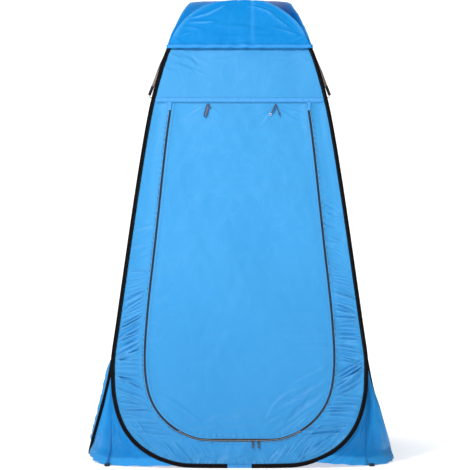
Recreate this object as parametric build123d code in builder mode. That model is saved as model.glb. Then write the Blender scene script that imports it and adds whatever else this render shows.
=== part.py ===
"""Privacy shower tent: four sprung hoops, four walls, a zipped door and a lift-off rain cap."""

from math import acos, atan2, cos, degrees, radians, sin, tan
import os

from build123d import *

os.makedirs("parts", exist_ok=True)

# Frame: origin at the middle of the footprint on the ground, +Z up, the door faces -Y.

# Hoops
wire_r = 2.0
bore_r = 2.3
binding_r = 8.5
ferrule_r = 3.6
ferrule_length = 40.0
patch_r = 7.6
patch_bore_r = 4.2
joint_gap = 96.0
side_tuck = 18.4

# Cloth
cloth = 2.0
edge_inset = 4.0

# Distance of every wall from the axis, by height
wall_profile = [
    (0, 625),
    (100, 592),
    (200, 561),
    (310, 531),
    (420, 509),
    (540, 491),
    (660, 475),
    (860, 448),
    (1060, 420.5),
    (1260, 391),
    (1390, 369.5),
    (1470, 353.5),
    (1550, 334),
    (1637, 309.5),
    (1690, 290),
    (1732, 272.6),
    (1778, 253.6),
    (1822, 232.5),
    (1859, 212.8),
    (1886, 198),
]

# Half width and height of the front hoop: the floor corner, then the arch over the shoulders
floor_corner = [
    (190, 8.5),
    (250, 15.5),
    (302, 31),
    (343, 49),
    (380, 71),
    (408, 93),
    (430, 115),
    (455, 148),
    (474, 185),
    (488, 224),
    (497, 262),
    (504, 302),
    (506.5, 365),
]
straight_heights = [430, 540, 660, 860, 1060, 1260, 1390, 1470, 1550, 1637, 1690]
arch = [
    (268, 1732),
    (238, 1778),
    (190, 1822),
    (125, 1859),
    (62, 1880),
]
arch_top = 1886.0

# Door and zip: half width and height, from the floor run up to the top ends
zip_outline = [
    (135, 105),
    (196, 119),
    (255, 148),
    (302, 186),
    (336, 228),
    (359, 274),
    (373, 330),
    (380, 400),
    (379, 490),
    (366, 658),
    (343.5, 858),
    (323, 1060),
    (303, 1264),
    (288, 1387),
    (282, 1424),
]
hinge_height = 1460.0
hinge_gap = 3.6
zip_half_width = 4.4
zip_split = 0.3
zip_thickness = 3.2
cloth_to_zip = 3.4

# Sliders and pulls
slider_x = (53.0, 76.0)
slider_size = (9.0, 12.0, 5.0)
pull_size = (7.0, 22.0, 1.6)

# Seam over the door
seam_height = (1464.0, 1480.0)
seam_thickness = 1.0
tab_size = (9.0, 34.0)

# Door ties
tie_x = (-127.0, 150.0)
tie_height = 1450.0
tie_width = 7.0
tie_thickness = 1.2

# Gussets and stake loops: height, corner seam, edge beside the front hoop
gusset_sections = [
    (400, 512, 510.3),
    (365, 514, 510.5),
    (310, 517, 508.5),
    (262, 520, 501),
    (205, 523.5, 485.5),
    (148, 527, 460),
    (110, 529, 430),
    (71, 531, 388),
    (50, 532, 376),
    (31, 533.5, 394),
    (3, 535, 452),
]
loop_length = 30.0
loop_height = 11.0
loop_width = 20.0
loop_thickness = 1.8
loop_x = 526.0
loop_y = 560.0

# Roof mesh: height, distance of the walls, half width at the front, half width at the sides
roof_sections = [
    (1690, 290, 288, 269.6),
    (1732, 272.6, 268, 249.6),
    (1778, 253.6, 238, 219.6),
    (1822, 232.5, 190, 171.6),
    (1859, 212.8, 125, 106.6),
    (1880, 201, 62, 43.6),
    (1886, 198, 4, 4),
]
roof_thickness = 1.6
roof_trim = 4.5

# Rain cap: height, distance of the flat sides, half width of the flat sides
cap_sections = [
    (1686, 306, 298),
    (1735, 288.5, 279),
    (1784, 264.5, 251),
    (1830, 243, 203),
    (1869, 223, 136),
    (1891, 209.5, 68),
    (1898, 203, 6),
]
cap_thickness = 2.0
hem_height = 14.0
hem_thickness = 1.3

# Cap straps: hang beside the corners from the hem of the cap
strap_y = 250.0
strap_width = 12.0
strap_thickness = 1.6
strap_line = [(304.2, 1684), (328, 1620), (350, 1556), (361, 1528)]
hook_line = [(361.11, 1527.7), (370, 1504), (373, 1493), (369, 1486), (362.5, 1486.5), (360.5, 1494)]
hook_thickness = 2.4
hook_width = 10.0

sides = {"front": 0, "right": 90, "rear": 180, "left": 270}


def wall_slope(index):
    """Slope of the wall profile at one of its knots."""
    low = max(index - 1, 0)
    high = min(index + 1, len(wall_profile) - 1)
    rise = wall_profile[high][0] - wall_profile[low][0]
    return (wall_profile[high][1] - wall_profile[low][1]) / rise


def wall_at(height):
    """Distance of a wall from the axis at a height, along a smooth curve through the knots."""
    index = 0
    while index < len(wall_profile) - 2 and height > wall_profile[index + 1][0]:
        index += 1
    low, near = wall_profile[index]
    high, far = wall_profile[index + 1]
    rise = high - low
    t = (height - low) / rise
    start = near * (1 + 2 * t) * (1 - t) ** 2 + rise * wall_slope(index) * t * (1 - t) ** 2
    end = far * t * t * (3 - 2 * t) + rise * wall_slope(index + 1) * t * t * (t - 1)
    return start + end


def lean_at(height):
    """Angle in degrees between a wall and the vertical at a height, positive when it leans inward."""
    step = 12.0
    run = wall_at(height - step) - wall_at(height + step)
    return degrees(atan2(run, 2 * step))


def face_plane(turn):
    """Upright plane through the axis: local x along the wall, local y up, normal outward."""
    angle = radians(turn)
    return Plane((0, 0, 0), x_dir=(cos(angle), sin(angle), 0), z_dir=(sin(angle), -cos(angle), 0))


def section_plane(turn):
    """Upright plane through the axis: local x outward, local y up, normal along the wall."""
    angle = radians(turn)
    return Plane((0, 0, 0), x_dir=(sin(angle), -cos(angle), 0), z_dir=(-cos(angle), -sin(angle), 0))


def bend_radii(points, closed=False, share=0.46):
    """Largest radii that keep a straight run between the arcs of a filleted line."""
    points = [Vector(*point) for point in points]
    if closed:
        points = [points[-1], *points, points[0]]
    radii = []
    for before, here, after in zip(points, points[1:], points[2:]):
        back = here - before
        ahead = after - here
        turn = acos(max(-1, min(1, back.normalized().dot(ahead.normalized()))))
        radii.append(share * min(back.length, ahead.length) / tan(max(turn, 0.004) / 2))
    return radii


def hoop_half(tuck):
    """Half width and height of one side of a hoop, from the floor to the top."""
    half = floor_corner + [(wall_at(z), z) for z in straight_heights] + arch
    return [(x - tuck, z) for x, z in half]


def hoop_points(turn, tuck, gap=0.0):
    """Points of a hoop in space, anticlockwise from its floor run; gap opens that run."""
    angle = radians(turn)
    half = hoop_half(tuck)
    flat = half + [(0, arch_top)] + [(-x, z) for x, z in reversed(half)]
    if gap:
        flat = [(gap / 2, binding_r), *flat, (-gap / 2, binding_r)]
    points = []
    for x, z in flat:
        out = wall_at(z)
        points.append((x * cos(angle) + out * sin(angle), x * sin(angle) - out * cos(angle), z))
    return points


def tuck_of(turn):
    """Side hoops sit behind the front and rear ones at the corners."""
    return side_tuck if turn % 180 else 0.0


def moved_in(points, amount, closed=False):
    """Points of an anticlockwise outline moved inward, or outward when the amount is negative."""
    moved = []
    last = len(points) - 1
    for index, (x, y) in enumerate(points):
        before = points[index - 1] if closed or index > 0 else points[index]
        after = points[(index + 1) % len(points)] if closed or index < last else points[index]
        along = Vector(x - before[0], y - before[1]).normalized() if before != (x, y) else Vector()
        if after != (x, y):
            along += Vector(after[0] - x, after[1] - y).normalized()
        along = along.normalized()
        moved.append((x - along.Y * amount, y + along.X * amount))
    return moved


def hoop_outline(tuck, inset):
    """Front view of a hoop, moved inward: local x across and local y up."""
    half = hoop_half(tuck)
    outline = half + [(0, arch_top)] + [(-x, z) for x, z in reversed(half)]
    return moved_in(outline, inset, closed=True)


def swept_hoop(turn, radius, bore=0.0, gap=0.0):
    """Tube along a hoop, closed or with a gap in its floor run."""
    points = hoop_points(turn, tuck_of(turn), gap)
    with BuildPart() as tube:
        with BuildLine() as path:
            if gap:
                FilletPolyline(*points, radius=bend_radii(points))
            else:
                FilletPolyline(*points, radius=bend_radii(points, closed=True), close=True)
        with BuildSketch(path.line ^ 0):
            Circle(radius)
            if bore:
                Circle(bore, mode=Mode.SUBTRACT)
        sweep(path=path.line)
    return tube.part


def floor_tube(turn, radius, bore, length):
    """Straight tube round the middle of a hoop's floor run."""
    with BuildPart() as tube:
        with BuildSketch(section_plane(turn).offset(-length / 2)):
            with Locations((wall_at(binding_r), binding_r)):
                Circle(radius)
                Circle(bore, mode=Mode.SUBTRACT)
        extrude(amount=length)
    return tube.part


def wall_sheet(turn, thickness, low, high, raised=0.0):
    """Sheet that follows a wall between two heights, wider than any panel."""
    heights = [low] + [z for z, out in wall_profile if low + 15 < z < high - 15] + [high]
    line = [(wall_at(z) + raised, z) for z in heights]
    with BuildPart() as sheet:
        with BuildSketch(section_plane(turn)):
            with BuildLine():
                FilletPolyline(*line, radius=bend_radii(line))
                offset(amount=thickness / 2, side=Side.BOTH)
            make_face()
        extrude(amount=700, both=True)
    return sheet.part


def wall_plane(x, height, lift=0.0):
    """Plane on the front wall at a point: local x along the wall, local y up it, normal outward."""
    lean = radians(lean_at(height))
    normal = Vector(0, -cos(lean), sin(lean))
    origin = Vector(x, -wall_at(height), height) + normal * lift
    return Plane(origin, x_dir=(1, 0, 0), z_dir=normal)


def panel_face(tuck, inset, low=-100.0, high=2100.0):
    """Face inside a hoop, cut off level at two heights."""
    with BuildSketch() as face:
        Polygon(*hoop_outline(tuck, inset), align=None)
        with Locations((0, (low + high) / 2)):
            Rectangle(2000, high - low, mode=Mode.INTERSECT)
    return face.sketch


def door_face(grow, top):
    """Face inside the zip line, grown or shrunk, cut off level at the top."""
    half = zip_outline + [(279.5, 1500)]
    points = moved_in([(-x, z) for x, z in reversed(half)] + half, -grow)
    with BuildSketch() as face:
        with BuildLine():
            FilletPolyline(*points, radius=bend_radii(points))
            Line(points[-1], points[0])
        make_face()
        with Locations((0, top - 1000)):
            Rectangle(2000, 2000, mode=Mode.INTERSECT)
    return face.sketch


def octagon(flat, half, side_half):
    """Eight corners of a square plan with cut corners."""
    quarter = [(half, -flat), (flat, -side_half), (flat, side_half), (half, flat)]
    return quarter + [(-x, -y) for x, y in quarter]


def stacked(sections, shrink=0.0, drop=0.0):
    """Solid through a stack of cut-cornered squares."""
    with BuildPart() as stack:
        for height, flat, half, side_half in sections:
            slim = [max(value - shrink * 0.7, 0.5) for value in (half, side_half)]
            with BuildSketch(Plane.XY.offset(height - drop)):
                Polygon(*octagon(flat - shrink, *slim), align=None)
        loft(ruled=True)
    return stack.part


def save(part, name):
    """Label a part and write its file."""
    part.label = name
    export_step(part, f"parts/{name}.step")


# Hoops
for side, turn in sides.items():
    with BuildPart() as hoop_wire:
        add(swept_hoop(turn, wire_r))
    save(hoop_wire.part, f"{side}_hoop_wire")

    with BuildPart() as ferrule:
        add(floor_tube(turn, ferrule_r, wire_r + 0.15, ferrule_length))
    save(ferrule.part, f"{side}_ferrule")

    with BuildPart() as binding:
        add(swept_hoop(turn, binding_r, bore_r, joint_gap))
    save(binding.part, f"{side}_binding")

    with BuildPart() as joint_patch:
        add(floor_tube(turn, patch_r, patch_bore_r, joint_gap - 1.0))
    save(joint_patch.part, f"{side}_joint_patch")

# Plain walls
for side in ("left", "right", "rear"):
    turn = sides[side]
    with BuildPart() as wall:
        add(wall_sheet(turn, cloth, 6, 1886))
        with BuildSketch(face_plane(turn)):
            add(panel_face(tuck_of(turn), edge_inset))
        extrude(amount=700, mode=Mode.INTERSECT)
    save(wall.part, f"{side}_wall")

# Front wall: header over the door, surround beside and below it
with BuildPart() as front_header:
    add(wall_sheet(0, cloth, 1400, 1886))
    with BuildSketch(face_plane(0)):
        add(panel_face(0, edge_inset, low=hinge_height + hinge_gap / 2))
    extrude(amount=700, mode=Mode.INTERSECT)
save(front_header.part, "front_header")

with BuildPart() as front_surround:
    add(wall_sheet(0, cloth, 6, 1500))
    with BuildSketch(face_plane(0)):
        add(panel_face(0, edge_inset, high=hinge_height + hinge_gap / 2 - 0.3))
        add(door_face(cloth_to_zip, zip_outline[-1][1] + 0.6), mode=Mode.SUBTRACT)
        with Locations((0, zip_outline[-1][1] + 50)):
            Rectangle(2 * zip_outline[-1][0], 100, mode=Mode.SUBTRACT)
    extrude(amount=700, mode=Mode.INTERSECT)
save(front_surround.part, "front_surround")

with BuildPart() as seam_tape:
    add(wall_sheet(0, seam_thickness, 1440, 1500, raised=cloth / 2 + seam_thickness / 2 + 0.1))
    with BuildSketch(face_plane(0)):
        add(panel_face(0, binding_r + 1.5, low=seam_height[0], high=seam_height[1]))
    extrude(amount=700, mode=Mode.INTERSECT)
save(seam_tape.part, "front_seam_tape")

for side, sign in (("left", -1), ("right", 1)):
    with BuildPart() as zip_tab:
        add(wall_sheet(0, seam_thickness, 1360, 1510, raised=cloth / 2 + seam_thickness / 2 + 0.1))
        with BuildSketch(face_plane(0)):
            with Locations((sign * (zip_outline[-1][0] + tab_size[0] / 2 + 0.4), 1443)):
                RectangleRounded(*tab_size, 2)
        extrude(amount=700, mode=Mode.INTERSECT)
    save(zip_tab.part, f"zip_tab_{side}")

with BuildPart() as zip_outer:
    add(wall_sheet(0, zip_thickness, 90, 1440))
    with BuildSketch(face_plane(0)):
        add(door_face(zip_half_width, zip_outline[-1][1]))
        add(door_face(zip_split / 2, zip_outline[-1][1] + 50), mode=Mode.SUBTRACT)
    extrude(amount=700, mode=Mode.INTERSECT)
save(zip_outer.part, "zip_outer_half")

# Door
with BuildPart() as door_panel:
    add(wall_sheet(0, cloth, 90, 1480))
    with BuildSketch(face_plane(0)):
        add(door_face(-cloth_to_zip, zip_outline[-1][1] + 1.2))
        with Locations((0, (zip_outline[-1][1] + 0.6 + hinge_height - hinge_gap / 2) / 2)):
            Rectangle(
                2 * zip_outline[-1][0] - 1.0,
                hinge_height - hinge_gap / 2 - zip_outline[-1][1] - 0.6,
            )
    extrude(amount=700, mode=Mode.INTERSECT)
save(door_panel.part, "door_panel")

with BuildPart() as zip_inner:
    add(wall_sheet(0, zip_thickness, 90, 1440))
    with BuildSketch(face_plane(0)):
        add(door_face(-zip_split / 2, zip_outline[-1][1]))
        add(door_face(-zip_half_width, zip_outline[-1][1] + 50), mode=Mode.SUBTRACT)
    extrude(amount=700, mode=Mode.INTERSECT)
save(zip_inner.part, "zip_inner_half")

# Door ties: two short legs hang from one stitched point over the door
tie_lift = cloth / 2 + 0.35
left_tie = wall_plane(tie_x[0], tie_height, tie_lift)
with BuildPart() as tie_left_loop:
    with BuildSketch(left_tie):
        with Locations(Location((-6.5, -23, 0), -15)):
            SlotOverall(46, 8, rotation=90)
            SlotOverall(40, 3.4, rotation=90, mode=Mode.SUBTRACT)
    extrude(amount=tie_thickness)
save(tie_left_loop.part, "door_tie_left_loop")

with BuildPart() as tie_left_tail:
    with BuildSketch(left_tie.offset(tie_thickness + 0.1)):
        with Locations(Location((3.5, -9, 0), 32)):
            RectangleRounded(5, 22, 1)
    extrude(amount=tie_thickness)
save(tie_left_tail.part, "door_tie_left_tail")

right_tie = wall_plane(tie_x[1], tie_height, tie_lift)
with BuildPart() as tie_right_strap:
    with BuildSketch(right_tie):
        with Locations(Location((-10, -17, 0), -31)):
            RectangleRounded(tie_width, 42, 1)
    extrude(amount=tie_thickness)
save(tie_right_strap.part, "door_tie_right_strap")

with BuildPart() as tie_right_tail:
    with BuildSketch(right_tie.offset(tie_thickness + 0.1)):
        with Locations(Location((6, -23, 0), 15)):
            RectangleRounded(5, 48, 1)
    extrude(amount=tie_thickness)
save(tie_right_tail.part, "door_tie_right_tail")

with BuildPart() as tie_right_ring:
    with BuildSketch(right_tie.offset(-0.1)):
        with Locations((-24, -41.5)):
            RectangleRounded(10, 10, 2.5)
            RectangleRounded(6.4, 6.4, 1.5, mode=Mode.SUBTRACT)
    extrude(amount=tie_thickness + 0.8)
save(tie_right_ring.part, "door_tie_right_ring")

# Sliders on the floor run of the zip, each with a pull on a pin
pin_height = 6.7
pin_y = -10.0
pin_r = 0.7
eye_r = 1.9
pull_tilt = 9.0
for side, x in zip(("left", "right"), slider_x):
    plane = wall_plane(x, zip_outline[0][1])
    base = zip_thickness / 2 + 0.3
    width, length, depth = slider_size
    with BuildPart() as slider:
        with BuildSketch(plane.offset(base)):
            with Locations((0, -length / 2 - 0.6)):
                RectangleRounded(width, length, 2)
        extrude(amount=depth / 2)
        with BuildSketch(plane.offset(base)):
            with Locations((-width / 2 + 0.35, pin_y), (width / 2 - 0.35, pin_y)):
                Rectangle(0.7, 3.4)
        extrude(amount=pin_height - base + 1.2)
        with BuildSketch(Plane(plane.from_local_coords(Vector(-width / 2, pin_y, pin_height)),
                               x_dir=plane.y_dir, z_dir=(1, 0, 0))):
            Circle(pin_r)
        extrude(amount=width)
    save(slider.part, f"slider_{side}")

    with BuildPart() as pull:
        pin = plane.from_local_coords(Vector(-pull_size[0] / 2, pin_y, pin_height))
        down = (plane.y_dir * -1).rotate(Axis((0, 0, 0), (1, 0, 0)), pull_tilt)
        with BuildSketch(Plane(pin, x_dir=down, z_dir=(1, 0, 0))):
            Circle(eye_r)
            with Locations((pull_size[1] / 2, 0)):
                Rectangle(pull_size[1], pull_size[2])
            Circle(pin_r + 0.3, mode=Mode.SUBTRACT)
        extrude(amount=pull_size[0])
    save(pull.part, f"pull_{side}")

# Gussets and stake loops at the four corners
corners = {
    "front_left": (-1, -1),
    "front_right": (1, -1),
    "rear_right": (1, 1),
    "rear_left": (-1, 1),
}
for corner, (right, back) in corners.items():
    with BuildPart() as gusset:
        for height, seam, reach in gusset_sections:
            out = wall_at(height)
            line = [(reach, out), (seam, seam), (out, reach - side_tuck)]
            outer = [(x + cloth * 0.37, y + cloth * 0.37) for x, y in line]
            inner = [(x - cloth * 0.37, y - cloth * 0.37) for x, y in reversed(line)]
            with BuildSketch(Plane.XY.offset(height)):
                Polygon(*[(right * x, back * y) for x, y in outer + inner], align=None)
        loft(ruled=True)
    save(gusset.part, f"gusset_{corner}")

    with BuildPart() as stake_loop:
        outward = Vector(0, back, 0)
        across = outward.cross(Vector(0, 0, 1))
        middle = Vector(right * loop_x, back * loop_y, loop_height / 2) - across * (loop_width / 2)
        with BuildSketch(Plane(middle, x_dir=outward, z_dir=across)):
            SlotOverall(loop_length, loop_height)
            SlotOverall(
                loop_length - 2 * loop_thickness,
                loop_height - 2 * loop_thickness,
                mode=Mode.SUBTRACT,
            )
        extrude(amount=loop_width)
    save(stake_loop.part, f"stake_loop_{corner}")

# Roof mesh between the arches
with BuildPart() as roof_mesh:
    add(stacked(roof_sections))
    add(stacked(roof_sections, shrink=roof_thickness, drop=roof_thickness), mode=Mode.SUBTRACT)
    trim = [(z, flat, flat, flat) for z, flat, half, side_half in roof_sections]
    trim = [(1600, trim[0][1] + 34, trim[0][1] + 34, trim[0][1] + 34), *trim, (1930, 182, 182, 182)]
    for height, flat, half, side_half in trim:
        with BuildSketch(Plane.XY.offset(height)):
            Rectangle(2 * (flat - roof_trim), 2 * (flat - roof_trim))
    loft(ruled=True, mode=Mode.INTERSECT)
save(roof_mesh.part, "roof_mesh")

# Rain cap and its hem
cap_stack = [(z, flat, half, half) for z, flat, half in cap_sections]
with BuildPart() as rain_cap:
    add(stacked(cap_stack))
    add(stacked(cap_stack, shrink=cap_thickness, drop=cap_thickness), mode=Mode.SUBTRACT)
save(rain_cap.part, "rain_cap")

with BuildPart() as cap_hem:
    low, flat, half, side_half = cap_stack[0]
    share = hem_height / (cap_stack[1][0] - low)
    shrunk = flat + (cap_stack[1][1] - flat) * share
    top_half = half + (cap_stack[1][2] - half) * share
    band = [(low, flat, half, half), (low + hem_height, shrunk, top_half, top_half)]
    add(stacked(band, shrink=-0.1 - hem_thickness))
    add(stacked(band, shrink=-0.1), mode=Mode.SUBTRACT)
save(cap_hem.part, "cap_hem")

# Cap straps and hooks
for corner, (right, back) in corners.items():
    plane = section_plane(90 if right > 0 else 270)
    middle = -back * right * strap_y
    with BuildPart() as cap_strap:
        with BuildSketch(plane.offset(middle - strap_width / 2)):
            with BuildLine():
                FilletPolyline(*strap_line, radius=[300, 300])
                offset(amount=strap_thickness / 2, side=Side.BOTH)
            make_face()
        extrude(amount=strap_width)
    save(cap_strap.part, f"cap_strap_{corner}")

    with BuildPart() as strap_hook:
        with BuildSketch(plane.offset(middle - hook_width / 2)):
            with BuildLine():
                FilletPolyline(*hook_line, radius=[20, 6, 3.2, 3.2])
                offset(amount=hook_thickness / 2, side=Side.BOTH)
            make_face()
        extrude(amount=hook_width)
    save(strap_hook.part, f"strap_hook_{corner}")
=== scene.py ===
import math

import bpy
import numpy as np
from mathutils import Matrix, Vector


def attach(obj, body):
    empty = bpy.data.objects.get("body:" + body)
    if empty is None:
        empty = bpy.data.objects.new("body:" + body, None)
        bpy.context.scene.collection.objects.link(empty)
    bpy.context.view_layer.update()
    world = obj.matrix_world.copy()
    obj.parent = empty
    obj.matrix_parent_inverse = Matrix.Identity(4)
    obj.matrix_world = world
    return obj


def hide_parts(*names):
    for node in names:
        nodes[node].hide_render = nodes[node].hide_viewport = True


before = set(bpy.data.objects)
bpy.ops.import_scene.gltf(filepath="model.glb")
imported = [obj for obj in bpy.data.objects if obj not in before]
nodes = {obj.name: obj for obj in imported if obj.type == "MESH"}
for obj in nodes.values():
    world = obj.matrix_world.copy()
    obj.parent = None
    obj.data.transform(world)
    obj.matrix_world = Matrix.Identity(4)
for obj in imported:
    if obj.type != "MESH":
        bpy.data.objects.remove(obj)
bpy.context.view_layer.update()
print("frame loaded")

# wall distance from the middle, by height, in metres
tent = {
    "wallHeights": [0, 0.1, 0.2, 0.31, 0.42, 0.54, 0.66, 0.86, 1.06, 1.26, 1.39, 1.47, 1.55,
                    1.637, 1.69, 1.732, 1.778, 1.822, 1.859, 1.886],
    "wallOut": [0.625, 0.592, 0.561, 0.531, 0.509, 0.491, 0.475, 0.448, 0.4205, 0.391, 0.3695,
                0.3535, 0.334, 0.3095, 0.29, 0.2726, 0.2536, 0.2325, 0.2128, 0.198],
    "cornerCurve": [(0.19, 0.0085), (0.25, 0.0155), (0.302, 0.031), (0.343, 0.049),
                    (0.38, 0.071), (0.408, 0.093), (0.43, 0.115), (0.455, 0.148),
                    (0.474, 0.185), (0.488, 0.224), (0.497, 0.262), (0.504, 0.302),
                    (0.5065, 0.365)],
    "archEnd": 1.8825,
    "archCurve": [(0.268, 1.732), (0.238, 1.778), (0.19, 1.822), (0.125, 1.859), (0.062, 1.88)],
    "straightHeights": [0.43, 0.54, 0.66, 0.86, 1.06, 1.26, 1.39, 1.47, 1.55, 1.637, 1.69],
    "top": 1.886,
    "floorRun": 0.0085,
    "sideTuck": 0.0184,
    "capEdge": (1.678, 1.695),
    "zipCurve": [(0.135, 0.105), (0.196, 0.119), (0.255, 0.148), (0.302, 0.186),
                 (0.336, 0.228), (0.359, 0.274), (0.373, 0.33), (0.38, 0.40), (0.379, 0.49),
                 (0.366, 0.658), (0.3435, 0.858), (0.323, 1.06), (0.303, 1.264),
                 (0.288, 1.387), (0.282, 1.424)],
    "hinge": 1.46,
}
turns = {"front": 0, "right": 90, "rear": 180, "left": 270}
# signs of x and y at each corner
corners = {"front_left": (-1, -1), "front_right": (1, -1), "rear_left": (-1, 1),
           "rear_right": (1, 1)}


def wallAt(z):
    heights = np.array(tent["wallHeights"])
    out = np.array(tent["wallOut"])
    slope = np.gradient(out, heights, edge_order=1)
    slope[1:-1] = (out[2:] - out[:-2]) / (heights[2:] - heights[:-2])
    z = np.asarray(z, float)
    i = np.clip(np.searchsorted(heights, z, side="left") - 1, 0, len(heights) - 2)
    rise = heights[i + 1] - heights[i]
    t = (z - heights[i]) / rise
    start = out[i] * (1 + 2 * t) * (1 - t) ** 2 + rise * slope[i] * t * (1 - t) ** 2
    return start + out[i + 1] * t * t * (3 - 2 * t) + rise * slope[i + 1] * t * t * (t - 1)


def wallNormal(z):
    run = (wallAt(z - 0.004) - wallAt(z + 0.004)) / 0.008
    length = np.sqrt(1 + run * run)
    return 1 / length, run / length


def onWall(side, x, z, lift=0.0):
    out, up = wallNormal(z)
    away = wallAt(z) + lift * out
    height = z + lift * up
    a = math.radians(turns[side])
    return np.stack([x * math.cos(a) + away * math.sin(a),
                     x * math.sin(a) - away * math.cos(a), height], axis=-1)


def unit(v):
    return v / np.maximum(np.linalg.norm(v, axis=-1, keepdims=True), 1e-9)


def pathLength(points):
    return np.concatenate([[0], np.cumsum(np.linalg.norm(np.diff(points, axis=0), axis=1))])


def resample(at, along, values):
    return np.stack([np.interp(at, along, values[:, k]) for k in range(values.shape[1])], axis=1)


def closedUp(ring):
    return np.vstack([ring, ring[:1]])


def frontRise(z):
    # direction out of the front wall at each height
    out, up = wallNormal(z)
    return np.stack([np.zeros_like(out), -out, up], axis=1)


def spread(line, columns):
    # widths and heights of a sheet whose rows run from one side of a hoop to the other
    x = line[:, :1] * np.linspace(-1, 1, columns + 1)
    return x, np.repeat(line[:, 1:], columns + 1, axis=1)


def wallFrame(side, x, z, lift=0.0):
    # a path laid on a wall, with the directions out of the wall and across the path
    path = onWall(side, x, z, lift)
    up = unit(onWall(side, x, z, 0.01) - onWall(side, x, z, 0.0))
    return path, up, unit(np.cross(unit(np.gradient(path, axis=0)), up))


def smoothLine(points, closed=False, step=0.004):
    # runs tangent to every leg of the outline, through the middles of the legs
    p = np.array(points, float)
    if closed:
        before, after = np.roll(p, 1, axis=0), np.roll(p, -1, axis=0)
        start, mid, end = (before + p) / 2, p, (p + after) / 2
    else:
        start, mid, end = (p[:-2] + p[1:-1]) / 2, p[1:-1], (p[1:-1] + p[2:]) / 2
        start[0], end[-1] = p[0], p[-1]
    t = np.linspace(0, 1, 24, endpoint=False)[None, :, None]
    curve = (start[:, None] * (1 - t) ** 2 + 2 * mid[:, None] * t * (1 - t)
             + end[:, None] * t * t).reshape(-1, p.shape[1])
    curve = np.vstack([curve, curve[:1] if closed else end[-1:]])
    along = pathLength(curve)
    count = max(8, int(round(along[-1] / step)))
    at = np.linspace(0, along[-1], count + 1)
    return resample(at, along, curve)


def hoopHalf(tuck=0.0):
    half = tent["cornerCurve"] + [(float(wallAt(z)), z) for z in tent["straightHeights"]]
    return [(x - tuck, z) for x, z in half + tent["archCurve"]]


def hoopSide(tuck=0.0, step=0.006):
    # right half of a hoop seen square on, from the end of its floor run to just before the top
    line = smoothLine([(0, tent["floorRun"])] + hoopHalf(tuck) + [(0, tent["top"])], step=step)
    return line[(line[:, 1] > tent["floorRun"] + 0.0002) & (line[:, 0] > 0.012)]


def hoopLoop(tuck=0.0, step=0.004):
    half = hoopHalf(tuck)
    points = half + [(0, tent["top"])] + [(-x, z) for x, z in reversed(half)]
    return smoothLine(points, closed=True, step=step)


def zipLine(step=0.004):
    half = tent["zipCurve"] + [(0.2806, tent["hinge"])]
    return smoothLine([(-x, z) for x, z in reversed(half)] + half, step=step)


def makePiece(name, verts, faces, material=None, body="tent", stored=None):
    mesh = bpy.data.meshes.new(name)
    mesh.from_pydata(np.asarray(verts, float).tolist(), [], np.asarray(faces).tolist()
                     if isinstance(faces, np.ndarray) else faces)
    mesh.update()
    for key, values in (stored or {}).items():
        layer = mesh.attributes.new(key, "FLOAT", "POINT")
        layer.data.foreach_set("value", np.asarray(values, np.float32).ravel())
    mesh.shade_smooth()
    piece = bpy.data.objects.new(name, mesh)
    bpy.context.collection.objects.link(piece)
    if material:
        mesh.materials.append(material)
    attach(piece, body)
    return piece


def gridFaces(rows, cols, closed=False, flip=False):
    r = np.arange(rows - 1)[:, None]
    c = np.arange(cols if closed else cols - 1)[None, :]
    a, b = r * cols + c, r * cols + (c + 1) % cols
    quads = np.stack([a, b, b + cols, a + cols], axis=-1).reshape(-1, 4)
    return quads[:, ::-1] if flip else quads


def nearLine(points, line):
    # distance to a line, and how far along it
    along = pathLength(line)
    a, b = line[:-1], line[1:]
    d = b - a
    size = np.maximum((d * d).sum(1), 1e-12)
    best, place = np.full(len(points), 1e9), np.zeros(len(points))
    for i in range(0, len(points), 4000):
        part = points[i:i + 4000]
        t = np.clip(((part[:, None] - a) * d).sum(2) / size, 0, 1)
        far = np.linalg.norm(part[:, None] - a - t[..., None] * d, axis=2)
        k = far.argmin(1)
        rows = np.arange(len(part))
        best[i:i + 4000] = far[rows, k]
        place[i:i + 4000] = along[k] + t[rows, k] * (along[k + 1] - along[k])
    return best, place


def softNoise(x, y, size, seed, count=14):
    # slow swell over a sheet, from a few long waves
    rng = np.random.default_rng(seed)
    total = np.zeros_like(x)
    for _ in range(count):
        angle, phase = rng.uniform(0, 2 * math.pi, 2)
        wave = 2 * math.pi / (size * rng.uniform(0.6, 1.7))
        total += np.sin((x * math.cos(angle) + y * math.sin(angle)) * wave + phase)
    return total / math.sqrt(count)


def lineNoise(s, size, seed, count=9):
    rng = np.random.default_rng(seed)
    total = np.zeros_like(s)
    for _ in range(count):
        total += np.sin(s * 2 * math.pi / (size * rng.uniform(0.55, 1.9))
                        + rng.uniform(0, 2 * math.pi))
    return total / math.sqrt(count)


def foldLift(x, z, folds):
    # folds are (x, z, angle in degrees, length, width, height, bend); a crest with a soft tail
    lift = np.zeros_like(x)
    for fx, fz, angle, length, width, height, bend in folds:
        a = math.radians(angle)
        along = (x - fx) * math.cos(a) + (z - fz) * math.sin(a)
        near = np.abs(along) < length * 0.75
        if not near.any():
            continue
        u = along[near] / (length / 2)
        across = ((z[near] - fz) * math.cos(a) - (x[near] - fx) * math.sin(a)
                  - bend * (u * u - 0.4))
        taper = np.clip(1 - np.abs(u) ** 2.4 / 1.9, 0, 1) ** 1.5
        w = across / (width * (0.65 + 0.35 * taper))
        crest = np.exp(-np.sqrt(w * w + 0.08) * 1.25) - 0.42 * np.exp(-((w - 1.5) / 0.9) ** 2)
        lift[near] += height * taper * crest
    return lift


def smoothStep(value, low, high):
    t = np.clip((value - low) / (high - low), 0, 1)
    return t * t * (3 - 2 * t)


def underCap(z):
    # walls lie almost flat where the cap covers them
    return 1 - 0.9 * smoothStep(z, *tent["capEdge"])


def hoopPuckers(s, size, seed, edge, middle):
    # small puckers drawn in by the stitching beside a hoop
    return lineNoise(s, size, seed) * np.exp(-((edge - middle) / 0.010) ** 2)


print("helpers ready")


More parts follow.
